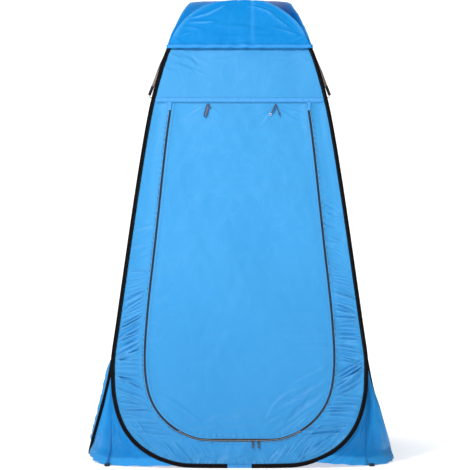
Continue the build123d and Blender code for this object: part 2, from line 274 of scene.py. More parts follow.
class Level:
    # a number in a material; sums written on it become Math nodes

    def __init__(self, paint, socket):
        self.paint = paint
        self.socket = socket

    def maths(self, kind, first, second=None):
        values = [first] if second is None else [first, second]
        return self.paint.node("ShaderNodeMath", {"operation": kind}, dict(enumerate(values)))

    def __add__(self, other):
        return self.maths("ADD", self, other)

    def __radd__(self, other):
        return self.maths("ADD", other, self)

    def __sub__(self, other):
        return self.maths("SUBTRACT", self, other)

    def __rsub__(self, other):
        return self.maths("SUBTRACT", other, self)

    def __mul__(self, other):
        return self.maths("MULTIPLY", self, other)

    def __rmul__(self, other):
        return self.maths("MULTIPLY", other, self)

    def __truediv__(self, other):
        return self.maths("DIVIDE", self, other)

    def sine(self):
        return self.maths("SINE", self)

    def size(self):
        return self.maths("ABSOLUTE", self)

    def above(self, other):
        return self.maths("GREATER_THAN", self, other)

    def atLeast(self, other):
        return self.maths("MAXIMUM", self, other)


class Paint:
    # one material: a principled shader and the nodes that feed it

    def __init__(self, name, **fixed):
        self.material = bpy.data.materials.new(name)
        self.material.use_nodes = True
        self.tree = self.material.node_tree
        self.shader = self.tree.nodes["Principled BSDF"]
        for key, value in fixed.items():
            self.shader.inputs[key.replace("_", " ")].default_value = value
        self.place = self.node("ShaderNodeTexCoord", out="Object")

    def node(self, kind, settings=None, values=None, out=0):
        made = self.tree.nodes.new(kind)
        for key, value in (settings or {}).items():
            if key == "stops":
                ramp = made.color_ramp
                while len(ramp.elements) < len(value):
                    ramp.elements.new(0.5)
                for stop, (at, colour) in zip(ramp.elements, value):
                    stop.position = at
                    stop.color = (*colour, 1)
            else:
                setattr(made, key, value)
        for key, value in (values or {}).items():
            if isinstance(value, Level):
                self.tree.links.new(value.socket, made.inputs[key])
            else:
                made.inputs[key].default_value = value
        return Level(self, made.outputs[out])

    def axis(self, letter):
        return self.node("ShaderNodeSeparateXYZ", None, {0: self.place}, out=letter)

    def stored(self, name):
        return self.node("ShaderNodeAttribute", {"attribute_name": name}, out="Fac")

    def noise(self, scale, detail=3.0, rough=0.55, warp=0.0, stretch=None):
        place = self.place
        if stretch:
            place = self.node("ShaderNodeVectorMath", {"operation": "MULTIPLY"},
                              {0: place, 1: stretch})
        return self.node("ShaderNodeTexNoise", None, {
            "Vector": place, "Scale": scale, "Detail": detail, "Roughness": rough,
            "Distortion": warp}, out=0)

    def mix(self, share, low, high):
        # colours: sockets 6 and 7 are the colour pair
        low, high = [(*c, 1) if isinstance(c, tuple) else c for c in (low, high)]
        return self.node("ShaderNodeMix", {"data_type": "RGBA"},
                         {0: share, 6: low, 7: high}, out=2)

    def ramp(self, value, stops):
        return self.node("ShaderNodeValToRGB", {"stops": stops}, {0: value})

    def finish(self, colour=None, rough=None, height=None, alpha=None, metal=None):
        for name, value in (("Base Color", colour), ("Roughness", rough), ("Alpha", alpha),
                            ("Metallic", metal)):
            if isinstance(value, Level):
                self.tree.links.new(value.socket, self.shader.inputs[name])
            elif value is not None:
                self.shader.inputs[name].default_value = value
        if height is not None:
            # height is in metres
            bump = self.node("ShaderNodeBump", None, {"Strength": 1.0, "Distance": 1.0,
                                                      "Height": height})
            self.tree.links.new(bump.socket, self.shader.inputs["Normal"])
        return self.material


clothWeave = {"pitch": 0.0011, "tone": 0.10, "height": 0.00004}


def clothPaint(name, look):
    # coated polyester: fine plain weave, soft blotches, crease marks, dust near the hem, painted
    # shade lower down, painted highlight and shade from stored attributes
    paint = Paint(name, Sheen_Weight=look["sheen"], Sheen_Roughness=0.45,
                  Specular_IOR_Level=look["shine"], Coat_Roughness=0.35)
    across = paint.axis("X") + paint.axis("Y")
    height = paint.axis("Z")
    turn = 2 * math.pi / clothWeave["pitch"]
    weave = (across * turn).sine() * (height * turn).sine() * 0.5 + 0.5
    blotch = paint.noise(look["blotch"], 3, 0.6, 0.4)
    crumple = paint.noise(38, 5, 0.62, 0.7)
    marks = paint.noise(9, 4, 0.5, 1.6, (1.0, 1.0, 0.55))
    creaseMark = (1 - (marks - 0.5).size() * 26).atLeast(0.0)
    base = paint.mix(blotch, look["deep"], look["colour"])
    base = paint.mix(creaseMark * look["mark"], base, look["worn"])
    base = paint.mix(weave * clothWeave["tone"], base, look["deep"])
    # painted highlight from the stored pale attribute (with a paler middle seam on the cap) and
    # painted shade from the stored hollow attribute
    for tone in ("pale", "hollow"):
        if tone in look:
            base = paint.mix(paint.stored(tone), base, look[tone])
    # painted shade: the low colour is mixed in more towards the ground, standing in for less light
    # there
    low = paint.ramp(height, [(0.0, (1, 1, 1)), (1.0, (0, 0, 0))])
    base = paint.mix(low * look["lowShade"], base, look["low"])
    dust = (1 - height / look["dustTop"]).atLeast(0.0)
    dusty = dust * dust * paint.noise(14, 4, 0.6) * look["dust"]
    base = paint.mix(dusty, base, (0.32, 0.33, 0.33))
    rough = look["rough"] + blotch * 0.10 + dusty * 0.3 - weave * 0.04
    bump = weave * clothWeave["height"] + crumple * look["crumple"] + creaseMark * 0.00012
    return paint.finish(base, rough, bump)


looks = {
    # low and lowShade are the colour and share of the painted shade towards the bottom
    "wall": {"colour": (0.050, 0.335, 0.70), "deep": (0.034, 0.290, 0.65),
             "worn": (0.11, 0.44, 0.80), "pale": (0.16, 0.50, 0.86),
             "low": (0.018, 0.215, 0.50), "lowShade": 0.72, "sheen": 0.05, "shine": 0.26,
             "blotch": 2.6, "mark": 0.10, "dustTop": 0.16, "dust": 0.04, "rough": 0.47,
             "crumple": 0.0007},
    "cap": {"colour": (0.008, 0.262, 0.68), "deep": (0.003, 0.205, 0.58),
            "worn": (0.05, 0.37, 0.78), "pale": (0.10, 0.43, 0.84),
            "hollow": (0.000, 0.058, 0.30), "low": (0.005, 0.2, 0.6), "lowShade": 0.0,
            "sheen": 0.0, "shine": 0.05, "blotch": 5.0, "mark": 0.10, "dustTop": 0.01,
            "dust": 0.0, "rough": 0.46, "crumple": 0.0007},
    # the gusset cloth is the wall cloth made darker: painted shade for the corners it hangs in
    "gusset": {"colour": (0.006, 0.215, 0.56), "deep": (0.002, 0.145, 0.42),
               "worn": (0.04, 0.36, 0.76), "pale": (0.030, 0.31, 0.70),
               "hollow": (0.001, 0.050, 0.21), "low": (0.002, 0.15, 0.45), "lowShade": 0.1,
               "sheen": 0.02, "shine": 0.12, "blotch": 9.0, "mark": 0.14, "dustTop": 0.10,
               "dust": 0.05, "rough": 0.44, "crumple": 0.0014},
}
wallPaint = clothPaint("wallCloth", looks["wall"])
capPaint = clothPaint("capCloth", looks["cap"])
gussetShadedPaint = clothPaint("gussetShadedCloth", looks["gusset"])


def tapePaint(name, look):
    # ribbed tape; ribs run across it and are counted along it
    paint = Paint(name, Sheen_Weight=look["sheen"], Sheen_Roughness=0.5,
                  Specular_IOR_Level=look.get("shine", 0.3))
    along, around = paint.stored("along"), paint.stored("around")
    ribs = (along * (2 * math.pi / look["rib"])).sine() * 0.5 + 0.5
    threads = (around * (2 * math.pi / (look["rib"] * 0.8))).sine() * 0.5 + 0.5
    fuzz = paint.noise(420, 2, 0.6)
    wear = paint.noise(22, 4, 0.6)
    base = paint.mix(ribs * threads * 0.5 + fuzz * 0.3, look["colour"], look["light"])
    worn = paint.ramp(wear, [(0.52, (0, 0, 0)), (0.78, (1, 1, 1))])
    base = paint.mix(worn * look["wear"], base, look["worn"])
    rough = look["rough"] + fuzz * 0.12 - ribs * 0.08
    return paint.finish(base, rough, ribs * look["height"] + threads * look["height"] * 0.6
                        + fuzz * 0.00005)


tapes = {
    "binding": {"colour": (0.0022, 0.0018, 0.0026), "light": (0.0070, 0.0058, 0.0075),
                "worn": (0.012, 0.010, 0.011), "wear": 0.30, "rib": 0.0016, "rough": 0.72,
                "sheen": 0.0, "shine": 0.07, "height": 0.00012},
    "zipTape": {"colour": (0.024, 0.021, 0.026), "light": (0.060, 0.052, 0.056),
                "worn": (0.13, 0.11, 0.11), "wear": 0.25, "rib": 0.0009, "rough": 0.6,
                "sheen": 0.08, "height": 0.00006},
    "webbing": {"colour": (0.010, 0.010, 0.012), "light": (0.04, 0.04, 0.045),
                "worn": (0.09, 0.085, 0.08), "wear": 0.4, "rib": 0.0024, "rough": 0.6,
                "sheen": 0.03, "height": 0.00022},
    "tie": {"colour": (0.020, 0.060, 0.15), "light": (0.055, 0.12, 0.25),
            "worn": (0.16, 0.26, 0.42), "wear": 0.2, "rib": 0.0010, "rough": 0.6,
            "sheen": 0.3, "height": 0.00008},
    "inner": {"colour": (0.30, 0.15, 0.13), "light": (0.46, 0.28, 0.25),
              "worn": (0.4, 0.3, 0.28), "wear": 0.2, "rib": 0.0010, "rough": 0.65,
              "sheen": 0.3, "height": 0.0001},
    "hemTape": {"colour": (0.045, 0.31, 0.73), "light": (0.070, 0.37, 0.80),
                "worn": (0.12, 0.44, 0.85), "wear": 0.15, "rib": 0.0011, "rough": 0.46,
                "sheen": 0.08, "height": 0.00005},
    "thread": {"colour": (0.012, 0.10, 0.30), "light": (0.04, 0.19, 0.45),
               "worn": (0.08, 0.26, 0.55), "wear": 0.1, "rib": 0.0007, "rough": 0.5,
               "sheen": 0.3, "height": 0.00005},
    "elastic": {"colour": (0.30, 0.225, 0.175), "light": (0.46, 0.37, 0.30),
                "worn": (0.33, 0.24, 0.2), "wear": 0.3, "rib": 0.0016, "rough": 0.7,
                "sheen": 0.05, "height": 0.00018},
    "darkThread": {"colour": (0.018, 0.018, 0.022), "light": (0.05, 0.05, 0.055),
                   "worn": (0.09, 0.09, 0.09), "wear": 0.2, "rib": 0.0007, "rough": 0.5,
                   "sheen": 0.3, "height": 0.00005},
}
tapePaints = {name: tapePaint(name + "Paint", look) for name, look in tapes.items()}


def steelPaint():
    paint = Paint("springSteel", Metallic=1.0)
    grain = paint.noise(260, 3, 0.6, 0.0, (1.0, 1.0, 0.08))
    spots = paint.ramp(paint.noise(70, 4, 0.6), [(0.55, (0, 0, 0)), (0.72, (1, 1, 1))])
    base = paint.mix(grain, (0.30, 0.30, 0.32), (0.52, 0.52, 0.54))
    base = paint.mix(spots * 0.5, base, (0.16, 0.10, 0.07))
    return paint.finish(base, 0.28 + grain * 0.2 + spots * 0.25, grain * 0.00002 + spots * 0.00003)


def sliderPaint():
    # dark painted casting, rubbed bright along its edges and speckled
    paint = Paint("sliderMetal", Specular_IOR_Level=0.5)
    edge = paint.node("ShaderNodeNewGeometry", out="Pointiness")
    rubbed = paint.ramp(edge, [(0.50, (0, 0, 0)), (0.56, (1, 1, 1))])
    speck = paint.noise(900, 3, 0.6)
    scuffs = paint.ramp(paint.noise(160, 4, 0.65, 1.2), [(0.56, (0, 0, 0)), (0.66, (1, 1, 1))])
    bare = rubbed * 0.20 + scuffs * 0.15
    base = paint.mix(speck, (0.012, 0.024, 0.062), (0.026, 0.045, 0.095))
    base = paint.mix(bare, base, (0.16, 0.19, 0.27))
    return paint.finish(base, 0.34 + speck * 0.1 - bare * 0.06, speck * 0.00003 - bare * 0.00003,
                        metal=bare * 0.6)


def plasticPaint(name, look):
    paint = Paint(name, Specular_IOR_Level=0.5)
    grain = paint.noise(1400, 2, 0.5)
    scuff = paint.ramp(paint.noise(120, 5, 0.65, 1.5), [(0.55, (0, 0, 0)), (0.7, (1, 1, 1))])
    base = paint.mix(grain * 0.5, look["colour"], look["light"])
    base = paint.mix(scuff * 0.35, base, look["worn"])
    return paint.finish(base, look["rough"] + grain * 0.08 + scuff * 0.15,
                        grain * 0.00003 - scuff * 0.00002)


steel = steelPaint()
sliderMetal = sliderPaint()
plastics = {
    "hook": {"colour": (0.012, 0.011, 0.012), "light": (0.03, 0.028, 0.03),
             "worn": (0.10, 0.09, 0.09), "rough": 0.42},
    "ring": {"colour": (0.42, 0.55, 0.68), "light": (0.55, 0.66, 0.76),
             "worn": (0.7, 0.75, 0.8), "rough": 0.35},
    "coil": {"colour": (0.020, 0.020, 0.026), "light": (0.045, 0.045, 0.055),
             "worn": (0.16, 0.15, 0.16), "rough": 0.32},
}
hookPaint = plasticPaint("hookPlastic", plastics["hook"])
ringPaint = plasticPaint("ringPlastic", plastics["ring"])
coilPaint = plasticPaint("coilPlastic", plastics["coil"])


def meshPaint():
    # knitted mesh: open holes in a hexagon-like layout, seen when the cap is off
    paint = Paint("roofMesh", Sheen_Weight=0.2, Specular_IOR_Level=0.3)
    turn = 2 * math.pi / 0.0026
    x, y = paint.axis("X"), paint.axis("Y")
    knit = (x * turn).sine() * (y * turn * 0.58).sine()
    cross = ((x * 0.5 + y * 0.29) * turn).sine() * ((x * 0.5 - y * 0.29) * turn).sine()
    net = (knit * 0.5 + cross * 0.5).size()
    holes = net.above(0.30)
    base = paint.mix(paint.noise(300, 2), (0.012, 0.018, 0.03), (0.04, 0.05, 0.075))
    return paint.finish(base, 0.65, net * -0.0002, alpha=1 - holes * 0.85)


roofPaint = meshPaint()
print("materials ready")


def sweep(name, path, across, up, section, material, body="tent", caps=True,
          ring=False):
    # section is an outline in (across, up), either one for all or one for each station
    section = np.broadcast_to(section, (len(path),) + np.shape(section)[-2:])
    verts = (path[:, None] + across[:, None] * section[..., :1] + up[:, None] * section[..., 1:])
    count, sides = section.shape[:2]
    faces = gridFaces(count, sides, closed=True).tolist()
    if ring:
        last = (count - 1) * sides
        faces += [[last + j, last + (j + 1) % sides, (j + 1) % sides, j] for j in range(sides)]
    elif caps:
        faces += [list(range(sides))[::-1], [(count - 1) * sides + j for j in range(sides)]]
    along = np.repeat(pathLength(path)[:, None], sides, axis=1)
    edge = np.linalg.norm(np.diff(section, axis=1, append=section[:, :1]), axis=2)
    around = np.concatenate([np.zeros((count, 1)), np.cumsum(edge, axis=1)[:, :-1]], axis=1)
    return makePiece(name, verts.reshape(-1, 3), faces, material, body,
                     stored={"along": along, "around": around})


def roundWay(ring):
    # direction along a closed ring
    return unit(np.roll(ring, -1, axis=0) - np.roll(ring, 1, axis=0))


def strapSection(width, thick):
    w, t = width / 2, thick / 2
    side = np.linspace(-w * 0.9, w * 0.9, 5)
    upper = [(x, t) for x in side[::-1]]
    lower = [(x, -t) for x in side]
    return np.array([(w, 0)] + upper + [(-w, 0)] + lower)


def stitches(name, path, up, look, body="tent", material="thread"):
    # short raised threads end to end along a line, each dipping into the cloth at its ends
    along = pathLength(path)
    count = max(1, int(along[-1] / look["pitch"]))
    at = (np.arange(count) + 0.5) * look["pitch"]
    middle, way, rise = [resample(at, along, v) for v in (path, np.gradient(path, axis=0), up)]
    way, rise = unit(way), unit(rise)
    side = np.cross(way, rise)
    rng = np.random.default_rng(len(name) + count)
    length = look["length"] * rng.uniform(0.88, 1.08, (count, 1, 1))
    thick = look["thick"]
    u = np.array([-0.5, -0.3, 0.0, 0.3, 0.5])
    fat = np.array([0.35, 0.9, 1.0, 0.9, 0.35]) * thick
    dip = np.array([-0.9, 0.1, 0.35, 0.1, -0.9]) * thick
    angle = np.arange(5) * 2 * math.pi / 5
    lean = rng.normal(0, 0.035, (count, 1, 1))
    offset = u[None, :, None] * length
    verts = (middle[:, None, None] + way[:, None, None] * offset[..., None]
             + side[:, None, None] * (offset * lean + fat[None, :, None] * np.cos(angle))[..., None]
             + rise[:, None, None] * (dip[None, :, None] + fat[None, :, None]
                                      * 0.8 * np.sin(angle))[..., None])
    tube = gridFaces(5, 5, closed=True)
    faces = (tube[None] + (np.arange(count) * 25)[:, None, None]).reshape(-1, 4)
    tone = np.repeat(rng.uniform(0, 1, count), 25)
    along = np.broadcast_to(at[:, None, None] + offset, (count, 5, 5))
    return makePiece(name, verts.reshape(-1, 3), faces, tapePaints[material], body,
                     stored={"along": along, "around": tone})


def sheetOf(flat, on=(), area=None, pieces=()):
    if area is not None:
        area = min(max(area, 0.301 * flat[0] * flat[1]), flat[0] * flat[1])


def areaOf(piece):
    return sum(face.area for face in piece.data.polygons)


def scatter(regions, seed, gain=1.0):
    # region: left, right, low, high, how many, angle, length, width, height
    rng = np.random.default_rng(seed)
    folds = []
    for x0, x1, z0, z1, count, angle, length, width, height in regions:
        for _ in range(count):
            folds.append((rng.uniform(x0, x1), rng.uniform(z0, z1), rng.normal(angle, 7),
                          length * rng.uniform(0.6, 1.4), width * rng.uniform(0.6, 1.5),
                          gain * height * rng.uniform(0.4, 1.3) * rng.choice((1, 1, -0.8)),
                          rng.normal(0, length * 0.06)))
    return folds


# front surround, from the zip out to the front hoop
surround = {
    "bands": [0.0044, 0.0050, 0.0062, 0.0085, 0.0110, 0.0128, 0.0136, 0.0140, 0.0144, 0.0152,
              0.0160, 0.0170, 0.0195, 0.0230],
    "columns": 40,
    "hem": 0.0009,
    "foldGain": 1.2,
    "crestHighlight": 0.40,
    "stitchLine": 0.0140,
    "match": [((0, 0.105), (0, 0.0085)), ((0.135, 0.105), (0.17, 0.0085)),
              ((0.196, 0.119), (0.27, 0.020)), ((0.255, 0.148), (0.345, 0.050)),
              ((0.302, 0.186), (0.41, 0.095)), ((0.336, 0.228), (0.46, 0.157)),
              ((0.359, 0.274), (0.488, 0.224)), ((0.378, 0.38), (0.505, 0.34)),
              ((0.379, 0.49), (0.4965, 0.48)), ((0.366, 0.658), (0.475, 0.66)),
              ((0.3435, 0.858), (0.448, 0.86)), ((0.323, 1.06), (0.4205, 1.06)),
              ((0.303, 1.264), (0.391, 1.26)), ((0.2806, 1.46), (0.3557, 1.46))],
    "folds": [
        (-0.45, -0.36, 0.78, 1.02, 7, 14, 0.09, 0.0070, 0.0026),
        (-0.41, -0.31, 1.02, 1.42, 5, 6, 0.09, 0.0090, 0.0012),
        (0.35, 0.44, 0.76, 1.08, 18, -16, 0.08, 0.0052, 0.0046),
        (0.31, 0.41, 1.02, 1.42, 5, -6, 0.09, 0.0090, 0.0012),
        # the two lower corners, where the folds turn to run across the curve
        (-0.40, -0.28, 0.06, 0.15, 9, -40, 0.11, 0.0048, 0.0050),
        (-0.29, -0.12, 0.04, 0.09, 11, -46, 0.09, 0.0046, 0.0044),
        (0.28, 0.40, 0.06, 0.15, 9, 38, 0.11, 0.0048, 0.0044),
        (0.12, 0.29, 0.04, 0.09, 11, 46, 0.09, 0.0046, 0.0040),
        (-0.12, 0.12, 0.04, 0.08, 5, 6, 0.10, 0.0070, 0.0016),
    ],
}


# folds drawn across the bands beside the door: (height, angle) for each side
bandFolds = {
    "left": [(0.13, -6), (0.17, 0), (0.235, 1), (0.26, -22), (0.33, -25), (0.355, -4),
             (0.42, 3), (0.45, 26), (0.66, 28), (0.72, 14), (0.78, 8)],
    "right": [(0.13, 10), (0.17, 2), (0.275, 0), (0.305, 30), (0.385, 32), (0.405, -9),
              (0.465, -10), (0.49, -2), (0.59, -3), (0.615, -17), (0.72, -14), (0.78, -6)],
    "gap": 0.0165,
    "width": 0.0037,
    "height": 0.0086,
}


def pleatsBesideDoor():
    rng = np.random.default_rng(17)
    zipHalf = zipLine(0.003)
    zipHalf = zipHalf[zipHalf[:, 0] > 0.13]
    hoop = halfHoop()
    hoop = hoop[:int(np.argmax(hoop[:, 0])) + 1], hoop[int(np.argmax(hoop[:, 0])):]
    folds = []
    for side, sign in (("left", -1), ("right", 1)):
        heights, angles = zip(*bandFolds[side])
        z = heights[0]
        while z < heights[-1]:
            near = np.interp(z, zipHalf[:, 1], zipHalf[:, 0])
            part = hoop[0] if z < hoop[0][-1, 1] else hoop[1]
            far = np.interp(z, part[:, 1], part[:, 0])
            fade = 1 if z < 0.68 else 0.45
            share = rng.uniform(0.42, 0.62)
            folds.append((sign * (near + (far - near) * share), z,
                          np.interp(z, heights, angles) + rng.normal(0, 3.5),
                          (far - near) * rng.uniform(0.85, 1.35),
                          bandFolds["width"] * rng.uniform(0.7, 1.5),
                          bandFolds["height"] * rng.uniform(0.55, 1.5) * fade,
                          rng.normal(0, 0.003)))
            z += bandFolds["gap"] * rng.uniform(0.6, 1.35)
    return folds


def halfHoop(tuck=0.0, top=1.46, step=0.004):
    line = smoothLine([(0, tent["floorRun"])] + hoopHalf(tuck) + [(0, tent["top"])], step=0.002)
    line = line[line[:, 1] <= top + 0.0001]
    along = pathLength(line)
    at = np.linspace(0, along[-1], int(along[-1] / step) + 1)
    return resample(at, along, line)


def makeSurround():
    half = zipLine(0.0023)
    half = half[len(half) // 2:]
    hoop = halfHoop()
    zipKnots = nearLine(np.array([a for a, b in surround["match"]], float), half)[1]
    hoopKnots = nearLine(np.array([b for a, b in surround["match"]], float), hoop)[1]
    at = np.interp(pathLength(half), zipKnots, hoopKnots)
    outer = resample(at, pathLength(hoop), hoop)
    inner = np.vstack([half[::-1] * (-1, 1), half[1:]])
    outer = np.vstack([outer[::-1] * (-1, 1), outer[1:]])
    gap = np.linalg.norm(outer - inner, axis=1)
    way = (outer - inner) / gap[:, None]
    bands = surround["bands"]
    far = np.broadcast_to(np.array(bands), (len(inner), len(bands)))
    rest = np.linspace(0, 1, surround["columns"] + 1)[1:]
    more = bands[-1] + (gap[:, None] - bands[-1]) * rest
    far = np.hstack([far, more])
    spot = inner[:, None] + way[:, None] * far[..., None]
    x, z = spot[..., 0], spot[..., 1]
    fromZip, fromHoop = far, gap[:, None] - far
    held = smoothStep(fromHoop, 0.004, 0.030) * smoothStep(fromZip, 0.006, 0.034)
    held = held * smoothStep(1.466 - z, 0.004, 0.03)
    lift = foldLift(x, z, pleatsBesideDoor() + scatter(surround["folds"], 11)) * held
    lift = lift * surround["foldGain"]
    # painted highlight on the fold crests, stored as the pale attribute
    crest = surround["crestHighlight"] * smoothStep(lift, 0.0012, 0.0060)
    slack = smoothStep(0.95 - z, 0.0, 0.45)
    lift += (0.0022 * softNoise(x, z, 0.16, 3) * (0.35 + 0.9 * slack)
             + 0.0010 * softNoise(x, z, 0.06, 4) * slack) * held
    lift += -0.0035 * smoothStep(fromHoop, 0, 0.05) * smoothStep(fromZip, 0, 0.05)
    # small puckers drawn in by the stitching at the hoop and at the zip
    s = np.repeat(pathLength(inner)[:, None], far.shape[1], axis=1)
    hoopPucker = np.exp(-((fromHoop - 0.014) / 0.011) ** 2)
    zipPucker = np.exp(-((fromZip - 0.019) / 0.007) ** 2)
    lift += (0.0007 * lineNoise(s, 0.021, 5) * hoopPucker * (0.35 + 0.7 * slack)
             + 0.0005 * lineNoise(s, 0.016, 6) * zipPucker)
    hem = 1 - smoothStep(fromZip, 0.0153, 0.0170)
    groove = np.exp(-((fromZip - surround["stitchLine"]) / 0.0006) ** 2)
    lift += surround["hem"] * hem - 0.0004 * groove
    verts = onWall("front", x, z, lift)
    faces = gridFaces(*x.shape)
    piece = makePiece("front_surround_cloth", verts.reshape(-1, 3), faces, wallPaint,
                      stored={"pale": crest})
    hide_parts("front_surround")
    seamCol = bands.index(surround["stitchLine"])
    line = onWall("front", x[:, seamCol], z[:, seamCol], lift[:, seamCol] + 0.0002)
    thread = stitches("zip_hem_stitch_outer", line, frontRise(z[:, seamCol]), threadLook)
    sheetOf((0.14, 3.55), ["front_hoop_wire"], areaOf(piece), [thread])


threadLook = {"pitch": 0.0036, "length": 0.0030, "thick": 0.00030}
makeSurround()
print("front surround ready")

# cloth over the door, up to the arch
header = {
    "columns": 110,
    "lip": 1.4584,
    "from": 1.4625,
    "heldTo": 1.482,
    "folds": [(-0.33, -0.17, 1.585, 1.675, 12, -24, 0.11, 0.0060, 0.0028),
              (0.18, 0.32, 1.61, 1.675, 6, 22, 0.09, 0.0065, 0.0018),
              (-0.2, 0.2, 1.62, 1.68, 6, 3, 0.13, 0.0080, 0.0012),
              (-0.3, 0.3, 1.70, 1.80, 7, 0, 0.14, 0.0080, 0.0025)],
}


def makeHeader():
    line = hoopSide(0.0, 0.004)
    line = line[(line[:, 1] > header["from"]) & (line[:, 0] > 0.03)]
    whole = hoopSide(0)
    low = header["lip"]
    line = np.vstack([[np.interp(low, whole[:, 1], whole[:, 0]), low], line])
    line = line[line[:, 1] <= tent["archEnd"]]
    x, z = spread(line, header["columns"])
    edge = line[:, :1] - np.abs(x)
    held = smoothStep(edge, 0.003, 0.028) * smoothStep(z - header["heldTo"], 0, 0.03)
    lift = foldLift(x, z, scatter(header["folds"], 21, 1.3)) * held
    lift += 0.0012 * softNoise(x, z, 0.22, 7) * held
    lift -= 0.003 * smoothStep(edge, 0, 0.1) * smoothStep(z - header["heldTo"], 0, 0.1)
    lift += 0.0005 * hoopPuckers(z, 0.022, 8, edge, 0.013)
    lift += 0.0007 * (1 - smoothStep(z, 1.464, 1.480))
    lift = lift * underCap(z)
    piece = makePiece("front_header_cloth", onWall("front", x, z, lift).reshape(-1, 3),
                      gridFaces(*x.shape), wallPaint)
    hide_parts("front_header")
    sheetOf((0.72, 0.44), ["front_hoop_wire"], areaOf(piece))


makeHeader()

# door cloth inside the zip
door = {
    "columns": 190,
    "inset": 0.0046,
    "stitchLine": 0.0140,
    "stitchLift": 0.0013,
    "top": 1.459,
    "folds": [
        (0.12, 0.30, 0.14, 0.27, 7, 38, 0.24, 0.0110, 0.0052),
        (0.18, 0.34, 0.26, 0.40, 5, 30, 0.17, 0.0100, 0.0038),
        (0.20, 0.33, 0.15, 0.24, 5, 46, 0.11, 0.0080, 0.0040),
        (-0.33, -0.18, 0.15, 0.30, 5, -34, 0.16, 0.0100, 0.0026),
        (0.20, 0.36, 0.44, 0.54, 3, 5, 0.16, 0.0130, 0.0026),
        (-0.36, -0.24, 0.42, 0.66, 5, 16, 0.13, 0.0120, 0.0022),
        (-0.20, 0.20, 0.30, 0.80, 5, 70, 0.30, 0.0260, 0.0022),
        (-0.25, 0.25, 0.80, 1.40, 5, 86, 0.42, 0.0300, 0.0018),
        (-0.12, 0.12, 0.13, 0.20, 5, 4, 0.20, 0.0100, 0.0022),
        # drawn in by the two ties
        (0.215, 1.428, -13, 0.13, 0.0048, 0.0032, 0.0),
        (0.205, 1.441, -5, 0.11, 0.0042, 0.0026, 0.0),
        (0.190, 1.412, -33, 0.10, 0.0050, 0.0028, 0.0),
        (0.105, 1.425, 28, 0.10, 0.0048, 0.0026, 0.0),
        (0.120, 1.405, 52, 0.10, 0.0050, 0.0024, 0.0),
        (-0.165, 1.430, 32, 0.09, 0.0046, 0.0022, 0.0),
        (-0.175, 1.441, 12, 0.09, 0.0042, 0.0018, 0.0),
        (-0.095, 1.422, -42, 0.08, 0.0046, 0.0018, 0.0),
    ],
}


def insideZip(line, inset):
    way = unit(np.gradient(line, axis=0))
    return line + np.stack([-way[:, 1], way[:, 0]], axis=1) * inset


def makeDoor():
    half = zipLine(0.0035)
    half = half[len(half) // 2:]
    inner = insideZip(half, door["inset"])
    inner = inner[(inner[:, 0] > 0.13) & (inner[:, 1] < door["top"])]
    inner[0, 1] = inner[1, 1] - 0.0002
    inner = inner[np.concatenate([[True], np.diff(inner[:, 1]) > 0.00015])]
    t = np.linspace(-1, 1, door["columns"] + 1)
    # columns crowd towards the sides, where the hem band is
    t = t * (1.22 - 0.22 * t * t)
    t = t / t[-1]
    x = inner[:, :1] * t
    z = np.repeat(inner[:, 1:], x.shape[1], axis=1)
    spots = np.stack([x, z], axis=-1).reshape(-1, 2)
    edge, place = nearLine(spots, zipLine(0.012))
    edge, place = edge.reshape(x.shape), place.reshape(x.shape)
    held = smoothStep(edge, 0.006, 0.045) * smoothStep(door["top"] - z, 0.001, 0.02)
    regions = [fold for fold in door["folds"] if len(fold) == 9]
    drawn = [fold for fold in door["folds"] if len(fold) == 7]
    lift = foldLift(x, z, scatter(regions, 33) + drawn) * held
    lift += (0.0030 * softNoise(x, z, 0.38, 12) + 0.0007 * softNoise(x, z, 0.09, 13)) * held
    lift += 0.004 * smoothStep(edge, 0, 0.30) * smoothStep(door["top"] - z, 0.04, 0.30)
    lift += 0.0005 * lineNoise(place, 0.018, 14) * np.exp(-((edge - 0.019) / 0.007) ** 2)
    lift += 0.0008 * (1 - smoothStep(edge, 0.0150, 0.0175))
    piece = makePiece("door_cloth", onWall("front", x, z, lift).reshape(-1, 3),
                      gridFaces(*x.shape), wallPaint, body="door")
    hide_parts("door_panel")
    seam = insideZip(zipLine(0.0035), door["stitchLine"])
    seam = seam[seam[:, 1] < door["top"] - 0.003]
    line = onWall("front", seam[:, 0], seam[:, 1], door["stitchLift"])
    thread = stitches("zip_hem_stitch_inner", line, frontRise(seam[:, 1]), threadLook,
                      body="door")
    return piece, thread


doorCloth, doorThread = makeDoor()
print("door ready")


